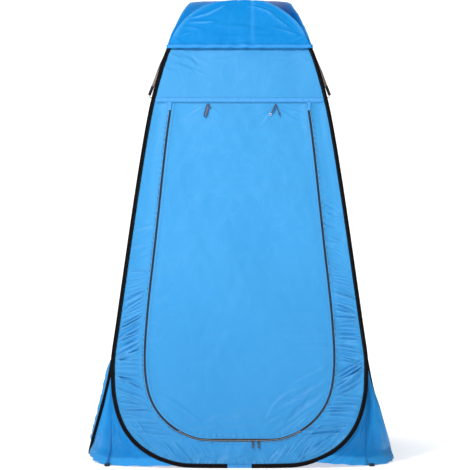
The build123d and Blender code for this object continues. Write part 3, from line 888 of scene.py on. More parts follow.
# left, right and rear walls
walls = {
    "left": {"tuck": tent["sideTuck"], "seed": 41, "columns": 120, "bulge": 0.019, "folds": [
        (-0.42, 0.42, 0.06, 0.50, 26, 12, 0.26, 0.0100, 0.0042),
        (0.25, 0.48, 0.08, 0.40, 10, -38, 0.18, 0.0085, 0.0045),
        (-0.48, -0.25, 0.08, 0.40, 10, 38, 0.18, 0.0085, 0.0045),
        (-0.38, 0.38, 0.60, 1.30, 12, 5, 0.26, 0.0140, 0.0022),
        (-0.26, 0.26, 1.45, 1.66, 10, 0, 0.14, 0.0080, 0.0016)]},
    "right": {"tuck": tent["sideTuck"], "seed": 42, "columns": 120, "folds": [
        (-0.42, 0.42, 0.06, 0.50, 26, -10, 0.26, 0.0100, 0.0042),
        (0.25, 0.48, 0.08, 0.40, 10, -36, 0.18, 0.0085, 0.0045),
        (-0.48, -0.25, 0.08, 0.40, 10, 36, 0.18, 0.0085, 0.0045),
        (-0.38, 0.38, 0.60, 1.30, 12, -4, 0.26, 0.0140, 0.0022),
        (-0.26, 0.26, 1.45, 1.66, 10, 0, 0.14, 0.0080, 0.0016)]},
    "rear": {"tuck": 0.0, "seed": 43, "columns": 130, "folds": [
        (-0.42, 0.42, 0.06, 0.50, 28, 4, 0.28, 0.0105, 0.0042),
        (0.27, 0.49, 0.08, 0.42, 10, -38, 0.18, 0.0085, 0.0045),
        (-0.49, -0.27, 0.08, 0.42, 10, 38, 0.18, 0.0085, 0.0045),
        (-0.38, 0.38, 0.60, 1.30, 12, 2, 0.28, 0.0150, 0.0024),
        (-0.26, 0.26, 1.45, 1.66, 10, 0, 0.14, 0.0080, 0.0016)]},
}


def makeWall(side, look):
    line = hoopSide(look["tuck"], 0.0045)
    line = line[line[:, 1] <= tent["archEnd"]]
    line = line[np.concatenate([[True], np.diff(line[:, 1]) > 0.00008])]
    x, z = spread(line, look["columns"])
    spots = np.stack([x, z], axis=-1).reshape(-1, 2)
    edge = nearLine(spots, hoopLoop(look["tuck"], 0.012))[0].reshape(x.shape)
    held = smoothStep(edge, 0.003, 0.035)
    slack = smoothStep(0.95 - z, 0.0, 0.5)
    lift = foldLift(x, z, scatter(look["folds"], look["seed"])) * held
    lift += (0.0030 * softNoise(x, z, 0.30, look["seed"] + 1)
             + 0.0010 * softNoise(x, z, 0.07, look["seed"] + 2) * slack) * held
    lift -= 0.005 * smoothStep(edge, 0, 0.18) * (1 - slack)
    lift = lift * underCap(z)
    if "bulge" in look:
        # slack cloth pushed out beside the front edge, near the ground
        lift += (look["bulge"] * np.exp(-((edge - 0.036) / 0.026) ** 2) * (x > 0.1)
                 * smoothStep(z, 0.03, 0.09) * smoothStep(0.50 - z, 0, 0.16))
    lift += 0.0009 * hoopPuckers(x + z, 0.022, look["seed"] + 3, edge, 0.014)
    piece = makePiece(side + "_wall_cloth", onWall(side, x, z, lift).reshape(-1, 3),
                      gridFaces(*x.shape), wallPaint)
    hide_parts(side + "_wall")
    sheetOf((1.03, 1.93), [side + "_hoop_wire"], areaOf(piece))


for side, look in walls.items():
    makeWall(side, look)
print("walls ready")

# corner gussets: a loose triangle of cloth either side of a seam, from the hoops to the ground
gussets = {
    "front_left": {"seam": (0.521, 0.521), "toe": (0.537, 0.532), "hoopFoot": (0.017, 0.045),
                   "hemAt": (0.011, 0.030), "belly": (0.006, 0.012), "seed": 51, "pleat": 0.0050,
                   "cover": 0.0, "tucked": 0.0050, "seamShade": 0.85},
    "front_right": {"seam": (0.508, 0.540), "toe": (0.518, 0.556), "hoopFoot": (0.030, 0.060),
                    "hemAt": (0.024, 0.012), "belly": (0.004, 0.030), "seed": 52,
                    "pleat": 0.0070, "cover": 0.011, "tucked": 0.0, "seamShade": 0.40},
    "rear_right": {"seam": (0.524, 0.524), "toe": (0.533, 0.537), "hoopFoot": (0.020, 0.030),
                   "hemAt": (0.012, 0.018), "belly": (0.008, 0.010), "seed": 53, "pleat": 0.0050,
                   "cover": 0.0, "tucked": 0.0, "seamShade": 0.60},
    "rear_left": {"seam": (0.524, 0.524), "toe": (0.533, 0.537), "hoopFoot": (0.020, 0.030),
                  "hemAt": (0.012, 0.018), "belly": (0.010, 0.008), "seed": 54, "pleat": 0.0046,
                  "cover": 0.0, "tucked": 0.0, "seamShade": 0.60},
}

gussetShape = {"top": 0.475, "rows": 110, "columns": 44, "flare": 0.010, "hemThick": 0.0009,
               "sag": 0.003, "seamRise": 0.00196, "sidePaintedLight": 0.45, "hemPaintedLight": 0.75,
               "hemStitch": 0.935}


def hoopAcross(z, tuck=0.0):
    line = halfHoop(tuck, 0.7, 0.003)
    line = line[:int(np.argmax(line[:, 0])) + 1]
    return np.interp(z, line[:, 1], line[:, 0])


def makeGusset(corner, look):
    right, back = corners[corner]
    top = gussetShape["top"]
    r = np.linspace(0, 1, gussetShape["rows"])
    q = np.linspace(0, 1, gussetShape["columns"])
    feet, hems = look["hoopFoot"], look["hemAt"]
    edges = []
    for k in (0, 1):
        tuck = tent["sideTuck"] * k
        # along the hoop down to its foot, then hanging free of it to the hem
        z = top + (hems[k] - top) * r
        onHoop = np.maximum(z, feet[k])
        reach = hoopAcross(onHoop, tuck) + (onHoop - z) * 0.35
        out = wallAt(onHoop) + 0.0015 + (onHoop - z) * 0.12
        if k == 1:
            # slack cloth that falls in front of the hoop
            out = out - look["tucked"] + look["cover"] * smoothStep(r, 0.25, 0.55)
        edges.append(np.stack([reach, out, z] if k == 0 else [out, reach, z], axis=1))
    start = (edges[0][0, :2] + edges[1][0, :2]) / 2 + 0.002
    turn = smoothStep(r, 0.86, 1.0)[:, None]
    seam = start + (np.array(look["seam"]) - start) * r[:, None] ** 1.3
    seam = seam + (np.array(look["toe"]) - np.array(look["seam"])) * turn
    seam = np.hstack([seam, (top + (0.0030 - top) * r)[:, None]])
    parts = []
    for k in (0, 1):
        a, b = (edges[0], seam) if k == 0 else (seam, edges[1])
        t = q if k == 0 else q[1:]
        flat = a[:, None] * (1 - t)[None, :, None] + b[:, None] * t[None, :, None]
        chord = b - a
        away = unit(np.stack([-chord[:, 1], chord[:, 0]], axis=1)) * -1
        away = away * np.sign((away * (1, 1)).sum(1, keepdims=True) + 1e-9)
        arc = np.sin(math.pi * t)[None, :] * smoothStep(r, 0.05, 0.75)[:, None]
        rng = np.random.default_rng(look["seed"] + 10 * k)
        pleats = np.zeros((len(r), len(t)))
        for _ in range(4):
            middle, size = rng.uniform(0.12, 0.88), rng.uniform(0.05, 0.11)
            drift, low = rng.uniform(-0.9, 0.9), rng.uniform(0.3, 0.7)
            across = (t[None, :] - middle - drift * (r[:, None] - 0.6)) / size
            pleats += (rng.uniform(0.5, 1.2) * rng.choice((1, -0.8))
                       * np.exp(-np.sqrt(across * across + 0.06) * 1.2)
                       * smoothStep(r, low - 0.2, low + 0.35)[:, None])
        lift = look["belly"][k] * arc + look["pleat"] * pleats * np.minimum(1, 4 * arc)
        lift += gussetShape["flare"] * smoothStep(r, 0.88, 1.0)[:, None] * np.minimum(1, 3 * arc)
        shape = (r[:, None] + 0 * t) * 0.4, (0 * r[:, None] + t) * 0.2
        lift += 0.0022 * softNoise(shape[1], shape[0], 0.07, look["seed"] + k) * arc
        hem = smoothStep(r, 0.968, 0.974)[:, None] * gussetShape["hemThick"]
        flat[..., :2] += away[:, None] * (lift + hem)[..., None]
        sag = np.sin(math.pi * t) * (0.5 + 0.5 * np.sin(t * 19 + look["seed"]))
        flat[..., 2] -= smoothStep(r, 0.8, 1.0)[:, None] * sag * gussetShape["sag"]
        parts.append(flat)
    spots = np.concatenate(parts, axis=1)
    # the seam stands up as a narrow ridge
    column = len(q) - 1
    width = spots.shape[1]
    ridge = np.exp(-((np.arange(width) - column) / 1.1) ** 2) * gussetShape["seamRise"]
    spots[..., :2] += ridge[None, :, None] * smoothStep(r, 0.02, 0.2)[:, None, None]
    spots[..., 2] = np.maximum(spots[..., 2], 0.0012)
    world = spots * (right, back, 1)
    # painted shade beside the seam, painted light on the side half and along the hem
    past = np.arange(width)[None, :] - column
    # painted shade: a dark band just beside the raised seam
    dark = np.exp(-((past + 2.5) / 1.3) ** 2) * smoothStep(r, 0.02, 0.2)[:, None]
    # painted light: the side half and the hem are paler, as if more lit, stored as the pale
    # attribute
    pale = gussetShape["sidePaintedLight"] * smoothStep(past, 2, 20) * np.ones((len(r), 1))
    pale = np.maximum(pale, gussetShape["hemPaintedLight"] * smoothStep(r, 0.925, 0.945)[:, None])
    piece = makePiece("gusset_cloth_" + corner, world.reshape(-1, 3),
                      gridFaces(len(r), width, flip=right * back > 0), gussetShadedPaint,
                      stored={"hollow": look["seamShade"] * dark, "pale": pale})
    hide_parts("gusset_" + corner)
    outward = np.broadcast_to(unit(np.array([right, back, 0.0])), (len(r), 3))
    beside = world[:, column - 2] + outward * 0.0004
    threads = [stitches("gusset_seam_stitch_" + corner, beside[6:], outward[6:], threadLook)]
    hemRow = int(len(r) * gussetShape["hemStitch"])
    line = world[hemRow]
    rise = unit(np.stack([right * (0.3 + np.arange(width) / width),
                          back * (1.3 - np.arange(width) / width), np.zeros(width)], axis=1))
    threads.append(stitches("gusset_hem_stitch_" + corner, line + rise * 0.0006, rise,
                            threadLook))
    first, second = corner.split("_")
    sheetOf((0.42, 0.49), [first + "_binding_tube", second + "_binding_tube"],
            areaOf(piece), threads)


# hoop bindings: black tape folded round the wire
binding = {"across": 0.0085, "depth": 0.0073, "squareness": 2.5, "gap": 0.048,
           "stitchIn": 0.0048, "flatWidth": 0.0262, "sleeve": 0.0495, "sleeveRadius": 0.0073}


def makeBinding(side, tuck):
    line = hoopLoop(tuck, 0.0032)
    line = line[~((np.abs(line[:, 0]) < binding["gap"]) & (line[:, 1] < 0.03))]
    path, up, across = wallFrame(side, line[:, 0], line[:, 1])
    s = pathLength(path)
    angle = np.linspace(0, 2 * math.pi, 18, endpoint=False)
    power = 2 / binding["squareness"]
    c, d = np.cos(angle), np.sin(angle)
    outline = np.stack([np.sign(c) * np.abs(c) ** power * binding["across"],
                        np.sign(d) * np.abs(d) ** power * binding["depth"]], axis=1)
    seed = turns[side]
    ruffle = lineNoise(s, 0.05, seed + 1)[:, None]
    skew = (np.sin(s[:, None] * 2 * math.pi / 0.0125 + 2.2 * angle + 2 * ruffle) * 0.020
            * (0.6 + 0.5 * ruffle) + lineNoise(s, 0.011, seed + 2)[:, None] * 0.014)
    section = outline[None] * (1 + skew)[..., None]
    tube = sweep(side + "_binding_tube", path, across, up, section, tapePaints["binding"])
    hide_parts(side + "_binding")
    # across points to the outside of the hoop or to its inside, so the stitches are put by sign
    inside = np.sign((across * (path.mean(axis=0) - path)).sum(axis=1).mean())
    threads = []
    for k, rise in enumerate((1, -1)):
        seam = (path + across * inside * binding["stitchIn"]
                + up * binding["depth"] * 0.93 * rise)
        threads.append(stitches(f"{side}_binding_stitch_{k}", seam, up * rise, threadLook,
                                material="darkThread"))
    sheetOf((binding["flatWidth"], s[-1]), [side + "_hoop_wire"], None, threads)
    # blue sleeve over the joint of the wire, at the middle of the floor run
    patch = np.linspace(-binding["sleeve"], binding["sleeve"], 40)
    spots, rise, over = wallFrame(side, patch, np.full(40, tent["floorRun"]))
    tube = np.stack([c, d * 0.86], axis=1) * binding["sleeveRadius"]
    rumple = 1 + 0.05 * lineNoise(patch, 0.012, seed + 4)[:, None] * np.cos(angle)
    sleeve = sweep(side + "_joint_sleeve", spots, over, rise, tube[None] * rumple[..., None],
                   wallPaint)
    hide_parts(side + "_joint_patch")
    sheetOf((0.023, 0.099), [side + "_hoop_wire"])


for side in turns:
    makeBinding(side, tent["sideTuck"] if side in ("left", "right") else 0.0)
for corner, look in gussets.items():
    makeGusset(corner, look)
print("bindings and gussets ready")

# zip round the door
zipLook = {"tapeMiddle": 0.0053, "tapeWidth": 0.0088, "tapeThick": 0.0005, "tapeLift": 0.0004,
           "coilOff": 0.00105, "coilAcross": 0.00125, "coilUp": 0.00095, "coilLift": 0.0016,
           "pitch": 0.0023, "wire": 0.00036, "turnPoints": 9,
           "outerTop": 1.4605, "innerTop": 1.4570, "flatWidth": 0.0100}


def makeZip():
    line = zipLine(0.003)
    path, up, outward = wallFrame("front", line[:, 0], line[:, 1])
    way = unit(np.gradient(path, axis=0))
    if outward[len(line) // 2, 2] > 0:
        outward = -outward
    s = pathLength(path)
    for name, sign, body, under in (("outer", 1, "tent", "front_surround_cloth"),
                                    ("inner", -1, "door", "door_cloth")):
        # the half on the door ends just under the seam it swings from
        upTo = line[:, 1] < zipLook[name + "Top"]
        middle = path + outward * sign * zipLook["tapeMiddle"] + up * zipLook["tapeLift"]
        tape = sweep(f"zip_tape_{name}", middle[upTo], outward[upTo], up[upTo],
                     strapSection(zipLook["tapeWidth"], zipLook["tapeThick"]),
                     tapePaints["zipTape"], body=body)
        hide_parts(f"zip_{name}_half")
        count = int(s[upTo][-1] / zipLook["pitch"])
        at = np.linspace(s[upTo][0], s[upTo][-1], count * zipLook["turnPoints"])
        spin = at / zipLook["pitch"] * 2 * math.pi + (0 if sign > 0 else math.pi)
        spot, side, rise, along = [resample(at, s, v) for v in (path, outward, up, way)]
        # a coil bent so that its heads meet in the middle
        u = np.cos(spin) * zipLook["coilAcross"] + sign * zipLook["coilOff"]
        v = np.sin(spin) * zipLook["coilUp"] + zipLook["coilLift"]
        core = spot + side * u[:, None] + rise * v[:, None]
        radial = unit(side * np.cos(spin)[:, None] + rise * np.sin(spin)[:, None])
        angle = np.arange(4) * math.pi / 2 + math.pi / 4
        wire = np.stack([np.cos(angle), np.sin(angle)], axis=1) * zipLook["wire"]
        sweep(f"zip_coil_{name}", core, radial, unit(along), wire, coilPaint, body=body)
        sheetOf((zipLook["flatWidth"], s[-1]), [under])


makeZip()

# seam over the door, the tabs beside it and the ties that hold the rolled door
def wallTape(name, spots, width, thick, lift, material, body, ring=False):
    spots = np.array(spots, float)
    path, up, across = wallFrame("front", spots[:, 0], spots[:, 1], lift)
    if ring:
        across = unit(np.cross(roundWay(path), up))
    return sweep(name, path, across, up, strapSection(width, thick), material, body=body,
                 ring=ring), up


seamLook = {"halfLength": 0.3440, "z": 1.4698, "width": 0.0190, "thick": 0.0010, "lift": 0.0014,
            "stitches": (1.4632, 1.4768), "stitchLift": 0.0021, "tabX": 0.2835, "tabTop": 1.4615,
            "tabLength": 0.0352, "tabWidth": 0.0130, "tabThick": 0.0012, "tabLift": 0.0036}


def makeSeam():
    look = seamLook
    x = np.linspace(-look["halfLength"], look["halfLength"], 200)
    ripple = 0.00025 * lineNoise(x, 0.018, 61)
    tape, up = wallTape("front_seam_band", np.stack([x, 0 * x + look["z"]], axis=1),
                        look["width"], look["thick"], look["lift"] + ripple,
                        tapePaints["hemTape"], "tent")
    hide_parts("front_seam_tape")
    threads = []
    for k, z in enumerate(look["stitches"]):
        line = onWall("front", x, 0 * x + z, look["stitchLift"] + ripple)
        threads.append(stitches(f"front_seam_stitch_{k}", line, up, threadLook))
    sheetOf((0.0160, 0.69), ["front_header_cloth"], None, threads)
    for name, sign in (("left", -1), ("right", 1)):
        t = np.linspace(0, 1, 16)
        spots = np.stack([sign * (look["tabX"] + 0.0010 * t) + 0.0005 * np.sin(t * 5),
                          look["tabTop"] - look["tabLength"] * t], axis=1)
        tab = wallTape(f"zip_tab_band_{name}", spots, look["tabWidth"], look["tabThick"],
                       look["tabLift"] + 0.0005 * np.sin(t * 6), tapePaints["hemTape"], "tent")[0]
        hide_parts("zip_tab_" + name)
        sheetOf((look["tabWidth"], look["tabLength"]), ["front_header_cloth"])


makeSeam()

# each tie's middle on the door, its lean in degrees and its length
ties = {
    "left_loop": {"at": (-0.127 - 0.0065, 1.450 - 0.025), "lean": -15, "length": 0.0510,
                  "across": 0.0120},
    "left_tail": {"at": (-0.127 + 0.0035, 1.450 - 0.009), "lean": 32, "length": 0.022},
    "right_strap": {"at": (0.150 - 0.010, 1.450 - 0.017), "lean": -31, "length": 0.042},
    "right_tail": {"at": (0.150 + 0.006, 1.450 - 0.023), "lean": 15, "length": 0.047},
}


def leaning(look, along, side=0.0):
    # a spot on the tie's own line, measured down from its middle
    a = math.radians(look["lean"])
    x, z = look["at"]
    return np.stack([x + along * math.sin(a) + side * math.cos(a),
                     z - along * math.cos(a) + side * math.sin(a)], axis=-1)


def makeTies():
    look = ties["left_loop"]
    h, w = look["length"] / 2 - 0.004, look["across"] / 2
    t = np.linspace(0, 1, 14, endpoint=False)
    arc = np.linspace(0, math.pi, 8, endpoint=False)
    along = np.concatenate([-h + 2 * h * t, h + w * np.sin(arc), h - 2 * h * t,
                            -h - w * np.sin(arc)])
    side = np.concatenate([w + 0 * t, w * np.cos(arc), -w + 0 * t, -w * np.cos(arc)])
    twist = 0.0062 + 0.0012 * np.sin(along * 90) + 0.0005 * np.sign(side)
    loop = wallTape("tie_tape_left_loop", leaning(look, along, side), 0.0036, 0.0014, twist,
                    tapePaints["tie"], "tie_left", ring=True)[0]
    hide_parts("door_tie_left_loop")
    t = np.linspace(-h, h, 24)
    lining = wallTape("tie_tape_left_lining", leaning(look, t, 0 * t), 0.0030, 0.0008,
                      0.0056 + 0.0008 * np.sin(t * 90), tapePaints["inner"], "tie_left")[0]
    tapesMade = [loop, lining]
    for name, body, node, width, wave, paint, slot in (
            ("left_tail", "tie_left", "door_tie_left_tail", 0.0056, 0.0007, "tie", "elastic"),
            ("right_strap", "tie_right", "door_tie_right_strap", 0.0068, 0.0012, "tie",
             "tie_cloth"),
            ("right_tail", "tie_right", "door_tie_right_tail", 0.0052, 0.0022, "tie",
             "tie_cloth")):
        look = ties[name]
        t = np.linspace(-0.5, 0.5, 30) * look["length"]
        bow = 0.0016 * np.sin(t / look["length"] * math.pi * 1.6)
        piece = wallTape("tie_tape_" + name, leaning(look, t, bow), width, 0.0009,
                         0.0058 + wave * np.sin(t * 110 + 1.2), tapePaints[paint], body)[0]
        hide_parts(node)
        tapesMade.append(piece)
    return tapesMade


sheetOf((0.76, 1.42), ["front_header_cloth"], areaOf(doorCloth),
        [doorThread] + makeTies())
print("zip, seam and ties ready")


# rain cap: cloth drawn over the four arches
cap = {
    "sections": [(1.686, 0.3020, 0.2960), (1.735, 0.2860, 0.2790), (1.784, 0.2645, 0.2510),
                 (1.830, 0.2430, 0.2030), (1.869, 0.2230, 0.1360), (1.891, 0.2095, 0.0680),
                 (1.898, 0.2030, 0.0100)],
    "sideRise": 0.0125,
    "hollowShade": (0.85, 0.30),
    "ridge": 0.0042,
    "ridgeHighlight": 0.55,
    "foldGain": 1.9,
    "flatPoints": 60,
    "cornerPoints": 16,
    "rows": 90,
    "topRows": 26,
    "sag": 0.014,
    "folds": {
        "front": [(-0.155, 1.797, 2, 0.11, 0.0060, 0.0050, 0.004),
                  (-0.165, 1.822, 14, 0.10, 0.0055, 0.0040, 0.0),
                  (-0.11, 1.845, 26, 0.13, 0.0070, 0.0050, 0.005),
                  (-0.19, 1.770, -12, 0.10, 0.0060, 0.0032, 0.0),
                  (-0.22, 1.745, 16, 0.09, 0.0060, 0.0028, 0.0),
                  (0.17, 1.800, -38, 0.14, 0.0065, 0.0035, 0.0),
                  (0.10, 1.850, -22, 0.12, 0.0065, 0.0035, 0.0),
                  (0.20, 1.755, -20, 0.12, 0.0075, 0.0030, 0.0),
                  (0.23, 1.722, 22, 0.09, 0.0060, 0.0026, 0.0),
                  (0.02, 1.735, 0, 0.24, 0.0110, 0.0022, 0.004),
                  (-0.02, 1.715, 4, 0.20, 0.0090, 0.0018, 0.0),
                  (0.00, 1.775, -8, 0.20, 0.0120, 0.0020, 0.0),
                  (-0.25, 1.716, -30, 0.07, 0.0050, 0.0028, 0.0)],
    },
    "middleSeam": 0.053,
    "seamWidth": 0.0062,
    "seamPale": 0.45,
}
for k, side in enumerate(("right", "rear", "left")):
    cap["folds"][side] = scatter([(-0.2, 0.2, 1.72, 1.86, 9, 5, 0.13, 0.0070, 0.0032),
                                  (-0.26, -0.14, 1.71, 1.80, 4, 28, 0.09, 0.0060, 0.0030),
                                  (0.14, 0.26, 1.71, 1.80, 4, -28, 0.09, 0.0060, 0.0030)], 70 + k)


def ringOf(flat, half, flatPoints, cornerPoints):
    # one octagon ring, from the left end of the front flat round to the right
    t = np.linspace(-1, 1, flatPoints + 1)[:, None]
    front = np.concatenate([t * half, 0 * t - flat], axis=1)
    c = np.linspace(0, 1, cornerPoints + 1)[1:-1, None]
    corner = np.array([half, -flat]) * (1 - c) + np.array([flat, -half]) * c
    quarter = np.concatenate([front, corner])
    rings = []
    for k in range(4):
        a = k * math.pi / 2
        rings.append(quarter @ np.array([[math.cos(a), math.sin(a)],
                                         [-math.sin(a), math.cos(a)]]))
    return np.concatenate(rings)


def sectionsAt(sections, rows):
    # evenly spaced along the profile, so that the rows crowd where it turns over
    curve = smoothLine(sections, step=0.001)
    along = pathLength(curve)
    return resample(np.linspace(0, along[-1], rows), along, curve)


def loftRings(sections, rows, topRows, sag, flatPoints, cornerPoints, soften, cornerSag):
    levels = sectionsAt(sections, rows)
    rings = [ringOf(f, h, flatPoints, cornerPoints) for _, f, h in levels]
    quarter = flatPoints + cornerPoints
    count = quarter * 4
    inQuarter = np.arange(count) % quarter
    onCorner = np.clip((inQuarter - flatPoints) / cornerPoints, 0, 1)
    hollow = np.sin(math.pi * onCorner) * (inQuarter >= flatPoints)
    low, high = levels[0, 0], levels[-1, 0]
    spots = []
    for (z, f, h), ring in zip(levels, rings):
        share = (z - low) / (high - low)
        size = 1 - hollow * cornerSag * math.sin(math.pi * min(1, share * 1.08)) / max(f, 0.01)
        ring = ring * size[:, None]
        spots.append(np.hstack([ring, np.full((count, 1), z)]))
    last = spots[-1]
    for k in range(1, topRows + 1):
        t = k / topRows
        shrink = 1 - t
        ring = last.copy()
        ring[:, :2] *= max(shrink, 0.004)
        ring[:, 2] = high - sag * (1 - shrink ** 2) + 0.002 * (1 - shrink) * shrink
        spots.append(ring)
    spots = np.stack(spots)
    for _ in range(soften):
        spots[:, :, :2] = (0.25 * np.roll(spots, 1, axis=1) + 0.5 * spots
                           + 0.25 * np.roll(spots, -1, axis=1))[:, :, :2]
        spots[1:-1] = 0.25 * spots[:-2] + 0.5 * spots[1:-1] + 0.25 * spots[2:]
    return spots, inQuarter


def surfaceNormals(spots):
    round_ = np.roll(spots, -1, axis=1) - np.roll(spots, 1, axis=1)
    up = np.gradient(spots, axis=0)
    return unit(np.cross(round_, up))


def makeCap():
    look = cap
    spots, inQuarter = loftRings(look["sections"], look["rows"], look["topRows"],
                                 look["sag"], look["flatPoints"], look["cornerPoints"],
                                 2, 0.010)
    rise = smoothStep(spots[..., 2], 1.74, 1.895)
    plan = np.abs(spots[..., :2])
    spots[..., 2] += (look["sideRise"] * rise * smoothStep(
        (plan[..., 0] - plan[..., 1]) / (plan.sum(axis=-1) + 0.02), -0.9, 0.9))
    normals = surfaceNormals(spots)
    z = spots[..., 2]
    step = np.minimum(np.abs(inQuarter - 0.5), np.abs(inQuarter - look["flatPoints"]))
    step = np.minimum(step, look["flatPoints"] + look["cornerPoints"] - inQuarter)
    # the arch ridges are raised, and together with the fold crests they also get a painted
    # highlight through the pale attribute
    ridge = np.exp(-(step / 1.3) ** 2) * smoothStep(z, 1.71, 1.76)
    ridge = ridge * (1 - smoothStep(z, 1.885, 1.905))
    lift = ridge * look["ridge"]
    held = smoothStep(z, 1.694, 1.722)
    for k, name in enumerate(("front", "right", "rear", "left")):
        a = math.radians(turns[name])
        local = spots[..., 0] * math.cos(a) + spots[..., 1] * math.sin(a)
        away = spots[..., 0] * math.sin(a) - spots[..., 1] * math.cos(a)
        facing = smoothStep(away - np.abs(local) * 0.92, -0.01, 0.03)
        drawn = look["foldGain"] * foldLift(local, z, look["folds"][name]) * held * facing
        lift += drawn
        ridge = np.maximum(ridge, smoothStep(drawn, 0.0015, 0.0060))
        ripple = 0.0012 * softNoise(local, z, 0.16, 80 + k) + 0.0003 * softNoise(
            local, z, 0.06, 90 + k)
        lift += ripple * held * facing
        if name in ("front", "rear"):
            seam = np.exp(-((local - look["middleSeam"]) / look["seamWidth"]) ** 2) * facing
            seam = seam * smoothStep(z, 1.700, 1.71)
            lift -= 0.0012 * seam
            ridge = np.maximum(ridge, look["seamPale"] * seam)
    # cloth hangs a little slack along its lower edge
    low = 1 - smoothStep(z, 1.690, 1.740)
    s = np.repeat(pathLength(closedUp(spots[0]))[None, :-1], len(spots), axis=0)
    lift += 0.0016 * lineNoise(s, 0.075, 95) * low
    shape = spots + normals * lift[..., None]
    # painted shade on the corner facets, stronger on the right-hand corners, stored as the hollow
    # attribute
    across = np.clip((inQuarter - look["flatPoints"]) / look["cornerPoints"], 0, 1)
    shade = np.sin(math.pi * across) ** 0.35 * smoothStep(z, 1.735, 1.80)
    shade = shade * np.where(shape[..., 0] > 0, *look["hollowShade"])
    piece = makePiece("rain_cap_cloth", shape.reshape(-1, 3),
                      gridFaces(*shape.shape[:2], closed=True), capPaint, body="cap",
                      stored={"hollow": shade, "pale": ridge * look["ridgeHighlight"]})
    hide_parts("rain_cap")
    # hem band and its stitches
    hemRow = int(np.argmin(np.abs(shape[:look["rows"], :, 2].mean(axis=1) - capHem["z"])))
    path = shape[hemRow]
    up = unit(normals[hemRow] * (1, 1, 0))
    across = unit(np.cross(roundWay(path), up))
    band = sweep("cap_hem_band", path + up * capHem["lift"], across, up,
                 strapSection(capHem["width"], capHem["thick"]), capHemPaint, body="cap",
                 ring=True)
    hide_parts("cap_hem")
    threads = []
    for k, shift in enumerate(capHem["stitches"]):
        line = closedUp(path) + closedUp(up) * capHem["stitchLift"]
        line[:, 2] += shift
        threads.append(stitches(f"cap_hem_stitch_{k}", line, closedUp(up), threadLook,
                                body="cap"))
    seams = []
    seamRows = slice(8, look["rows"] - 4)
    for k in range(4):
        for j, column in enumerate((1, look["flatPoints"] - 1)):
            c = k * (look["flatPoints"] + look["cornerPoints"]) + column
            rise = normals[seamRows, c]
            seams.append(stitches(f"cap_seam_stitch_{k}_{j}", shape[seamRows, c] + rise * 0.0003,
                                  rise, threadLook, body="cap"))
    sheetOf((1.04, 1.04), ["front_hoop_wire", "rear_hoop_wire"],
            areaOf(piece), seams)
    sheetOf((capHem["width"], pathLength(closedUp(path))[-1]),
            ["rain_cap_cloth"], None, threads)


capHem = {"z": 1.6935, "width": 0.0150, "thick": 0.0012, "lift": 0.0010, "stitchLift": 0.0019,
          "stitches": (0.0050, -0.0052)}
capHemPaint = tapePaint("capHemTape", {
    "colour": (0.018, 0.275, 0.70), "light": (0.040, 0.33, 0.76), "worn": (0.09, 0.40, 0.80),
    "wear": 0.15, "rib": 0.0011, "rough": 0.46, "sheen": 0.05, "height": 0.00005})
makeCap()

# roof mesh under the cap
roof = {"sections": [(1.692, 0.2845, 0.262), (1.732, 0.2670, 0.244), (1.778, 0.2480, 0.212),
                     (1.822, 0.2270, 0.164), (1.859, 0.2070, 0.100), (1.876, 0.1960, 0.040),
                     (1.881, 0.1920, 0.006)]}


def makeRoof():
    spots = loftRings(roof["sections"], 44, 18, 0.010, 36, 12, 2, 0.012)[0]
    shape = spots + surfaceNormals(spots) * (0.0014 * softNoise(
        spots[..., 0] + spots[..., 1], spots[..., 2], 0.11, 101))[..., None]
    piece = makePiece("roof_mesh_net", shape.reshape(-1, 3),
                      gridFaces(*shape.shape[:2], closed=True), roofPaint)
    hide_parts("roof_mesh")
    sheetOf((0.98, 0.98), ["front_hoop_wire", "rear_hoop_wire"],
            areaOf(piece))


makeRoof()

# elastic straps that hold the cap down, and the webbing loops for ground stakes
straps = {"line": [(0.3042, 1.684), (0.328, 1.620), (0.350, 1.556), (0.3612, 1.5278)],
          "width": 0.012, "thick": 0.0015, "y": 0.25, "twist": 1.35,
          "tab": 0.034}


def makeStraps():
    line = smoothLine(straps["line"], step=0.0025)
    for corner, (right, back) in corners.items():
        wave = 0.0006 * np.sin(pathLength(line) * 60 + right + back)
        path = np.stack([right * line[:, 0], 0 * line[:, 0] + back * straps["y"],
                         line[:, 1]], axis=1)
        way = unit(np.gradient(path, axis=0))
        flat = np.broadcast_to(np.array([0.0, 1.0, 0.0]), path.shape)
        out = np.cross(way, flat)
        out = unit(out) * np.sign(out[:, :1] * right + 1e-9)
        turn = straps["twist"] * smoothStep(np.linspace(0, 1, len(path)), 0.1, 0.7)[:, None]
        turn = turn * right
        across = flat * np.cos(turn) + out * np.sin(turn)
        up = unit(out * np.cos(turn) - flat * np.sin(turn))
        strap = sweep("cap_strap_band_" + corner, path + up * wave[:, None], across, up,
                      strapSection(straps["width"], straps["thick"]),
                      tapePaints["elastic"], body="strap_" + corner)
        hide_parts("cap_strap_" + corner)
        # black tab round the end, where the hook is sewn in
        down = np.linspace(-0.006, straps["tab"], 16)[:, None]
        end = path[-1] + unit(path[-1] - path[-6]) * down
        side, face = across[-1:] + 0 * end, up[-1:] + 0 * end
        fold = sweep("cap_strap_end_" + corner, end, side, face,
                     strapSection(0.0128, 0.0040), tapePaints["webbing"],
                     body="strap_" + corner)
        stitch = stitches("cap_strap_stitch_" + corner, end[2:] + face[2:] * 0.0021,
                          face[2:], threadLook, body="strap_" + corner,
                          material="darkThread")
        sheetOf((0.012, pathLength(path)[-1]), ["rain_cap_cloth"], None,
                [fold, stitch])


makeStraps()
loops = {"x": 0.526, "y": 0.560, "long": 0.030, "tall": 0.011, "wide": 0.020, "thick": 0.0016}


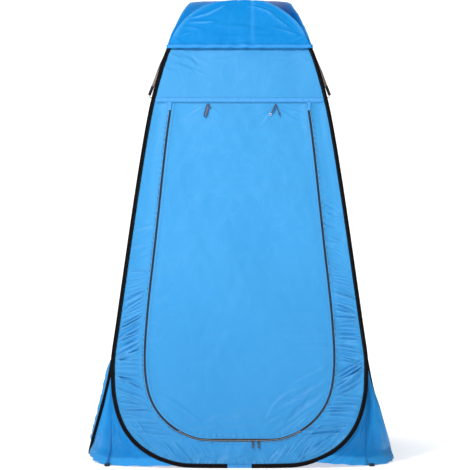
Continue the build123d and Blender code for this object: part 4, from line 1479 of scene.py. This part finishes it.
def makeLoops():
    radius = (loops["tall"] - loops["thick"]) / 2
    half = loops["long"] / 2 - loops["tall"] / 2
    t = np.linspace(0, 1, 12, endpoint=False)
    arc = np.linspace(0, math.pi, 12, endpoint=False)
    y = np.concatenate([-half + 2 * half * t, half + radius * np.sin(arc),
                        half - 2 * half * t, -half - radius * np.sin(arc)])
    z = np.concatenate([-radius + 0 * t, -radius * np.cos(arc), radius + 0 * t,
                        radius * np.cos(arc)])
    for corner, (right, back) in corners.items():
        path = np.stack([0 * y + right * loops["x"], back * loops["y"] + y,
                         z + loops["tall"] / 2], axis=1)
        across = np.broadcast_to(np.array([1.0, 0.0, 0.0]), path.shape)
        up = unit(np.cross(roundWay(path), across))
        loop = sweep("stake_loop_band_" + corner, path, across, up,
                     strapSection(loops["wide"], loops["thick"]), tapePaints["webbing"],
                     ring=True)
        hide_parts("stake_loop_" + corner)
        sheetOf((loops["wide"], pathLength(closedUp(path))[-1]),
                ["gusset_cloth_" + corner])


makeLoops()
print("cap, roof, straps and loops ready")

# solid parts keep their own shape and get a finish
for name, node in nodes.items():
    if node.hide_render or not node.material_slots:
        continue
    paint = None
    if "wire" in name or "ferrule" in name:
        paint = steel
    elif name.startswith(("slider", "pull")):
        paint = sliderMetal
    elif name.startswith("strap_hook"):
        paint = hookPaint
    elif name.endswith("ring"):
        paint = ringPaint
    if paint:
        for held in node.material_slots:
            held.material = paint


stageLook = {"floorRadius": 4.2, "wallRadius": 26.0, "low": -16.0, "high": 30.0,
             "glowNear": 0.65, "glowFar": 1.3, "nearGlow": 0.55, "skyLight": 0.30}


def makeStage():
    turn = np.linspace(0, 2 * math.pi, 96, endpoint=False)
    circle = np.stack([np.cos(turn), np.sin(turn)], axis=1)

    def stagePiece(name, rings, paint):
        verts = np.concatenate([np.hstack([circle * r, np.full((96, 1), z)]) for r, z in rings])
        mesh = bpy.data.meshes.new(name)
        mesh.from_pydata(verts.tolist(), [], gridFaces(len(rings), 96, closed=True).tolist())
        made = bpy.data.objects.new(name, mesh)
        bpy.context.collection.objects.link(made)
        mesh.materials.append(paint.material)
        return made

    # painted glow: the floor gives off light, brighter with distance until it is as white as the
    # backdrop, which pales the tent's shadow on it
    floorPaint = Paint("floorPaint", Roughness=0.85, Specular_IOR_Level=0.2, Emission_Strength=1.0)
    far = floorPaint.node("ShaderNodeVectorMath", {"operation": "LENGTH"},
                          {0: floorPaint.place}, out="Value")
    span = stageLook["glowFar"] - stageLook["glowNear"]
    glow = floorPaint.ramp((far - stageLook["glowNear"]) / span,
                           [(0.0, (stageLook["nearGlow"],) * 3), (1.0, (1, 1, 1))])
    floorPaint.tree.links.new(glow.socket, floorPaint.shader.inputs["Emission Color"])
    shade = floorPaint.noise(0.7, 3, 0.5)
    floorPaint.finish(floorPaint.mix(shade, (0.88, 0.88, 0.88), (0.91, 0.91, 0.91)))
    stagePiece("floor", [(0.001, 0.0), (1.5, 0.0), (stageLook["floorRadius"], 0.0)], floorPaint)
    backdropPaint = Paint("backdropPaint", Roughness=1.0, Emission_Color=(1, 1, 1, 1),
                          Emission_Strength=1.0)
    backdrop = stagePiece("backdrop", [(stageLook["wallRadius"], stageLook["low"]),
                                       (stageLook["wallRadius"], stageLook["high"])],
                          backdropPaint)
    backdrop.visible_glossy = False
    backdrop.visible_diffuse = False
    backdrop.visible_shadow = False


makeStage()
world = bpy.data.worlds.new("studio")
bpy.context.scene.world = world
world.use_nodes = True
sky = world.node_tree.nodes["Background"]
sky.inputs["Color"].default_value = (1, 1, 1, 1)
sky.inputs["Strength"].default_value = stageLook["skyLight"]

lamps = {
    "key": {"at": (-2.5, -4.0, 4.8), "aim": (0, 0, 1.1), "power": 286, "size": 1.1},
    "fill": {"at": (1.5, -6.5, 1.6), "aim": (0, 0, 0.9), "power": 22, "size": 3.0},
    "back": {"at": (0.5, 4.5, 4.2), "aim": (0, 0, 1.0), "power": 26, "size": 2.4},
}
for name, look in lamps.items():
    light = bpy.data.lights.new(name, "AREA")
    light.energy = look["power"]
    light.size = look["size"]
    lamp = bpy.data.objects.new(name, light)
    lamp.location = look["at"]
    lamp.rotation_euler = (Vector(look["aim"]) - Vector(look["at"])).to_track_quat(
        "-Z", "Y").to_euler()
    bpy.context.collection.objects.link(lamp)

cameraLook = {"lens": 143.4, "shift": (-0.0096, -0.0166), "at": (0, -8.0, 0.95)}
lens = bpy.data.cameras.new("camera")
lens.lens = cameraLook["lens"]
lens.shift_x, lens.shift_y = cameraLook["shift"]
camera = bpy.data.objects.new("camera", lens)
camera.location = cameraLook["at"]
camera.rotation_euler = (math.radians(90), 0, 0)
bpy.context.collection.objects.link(camera)
bpy.context.scene.camera = camera
bpy.context.scene.view_settings.view_transform = "Standard"
print("stage ready")
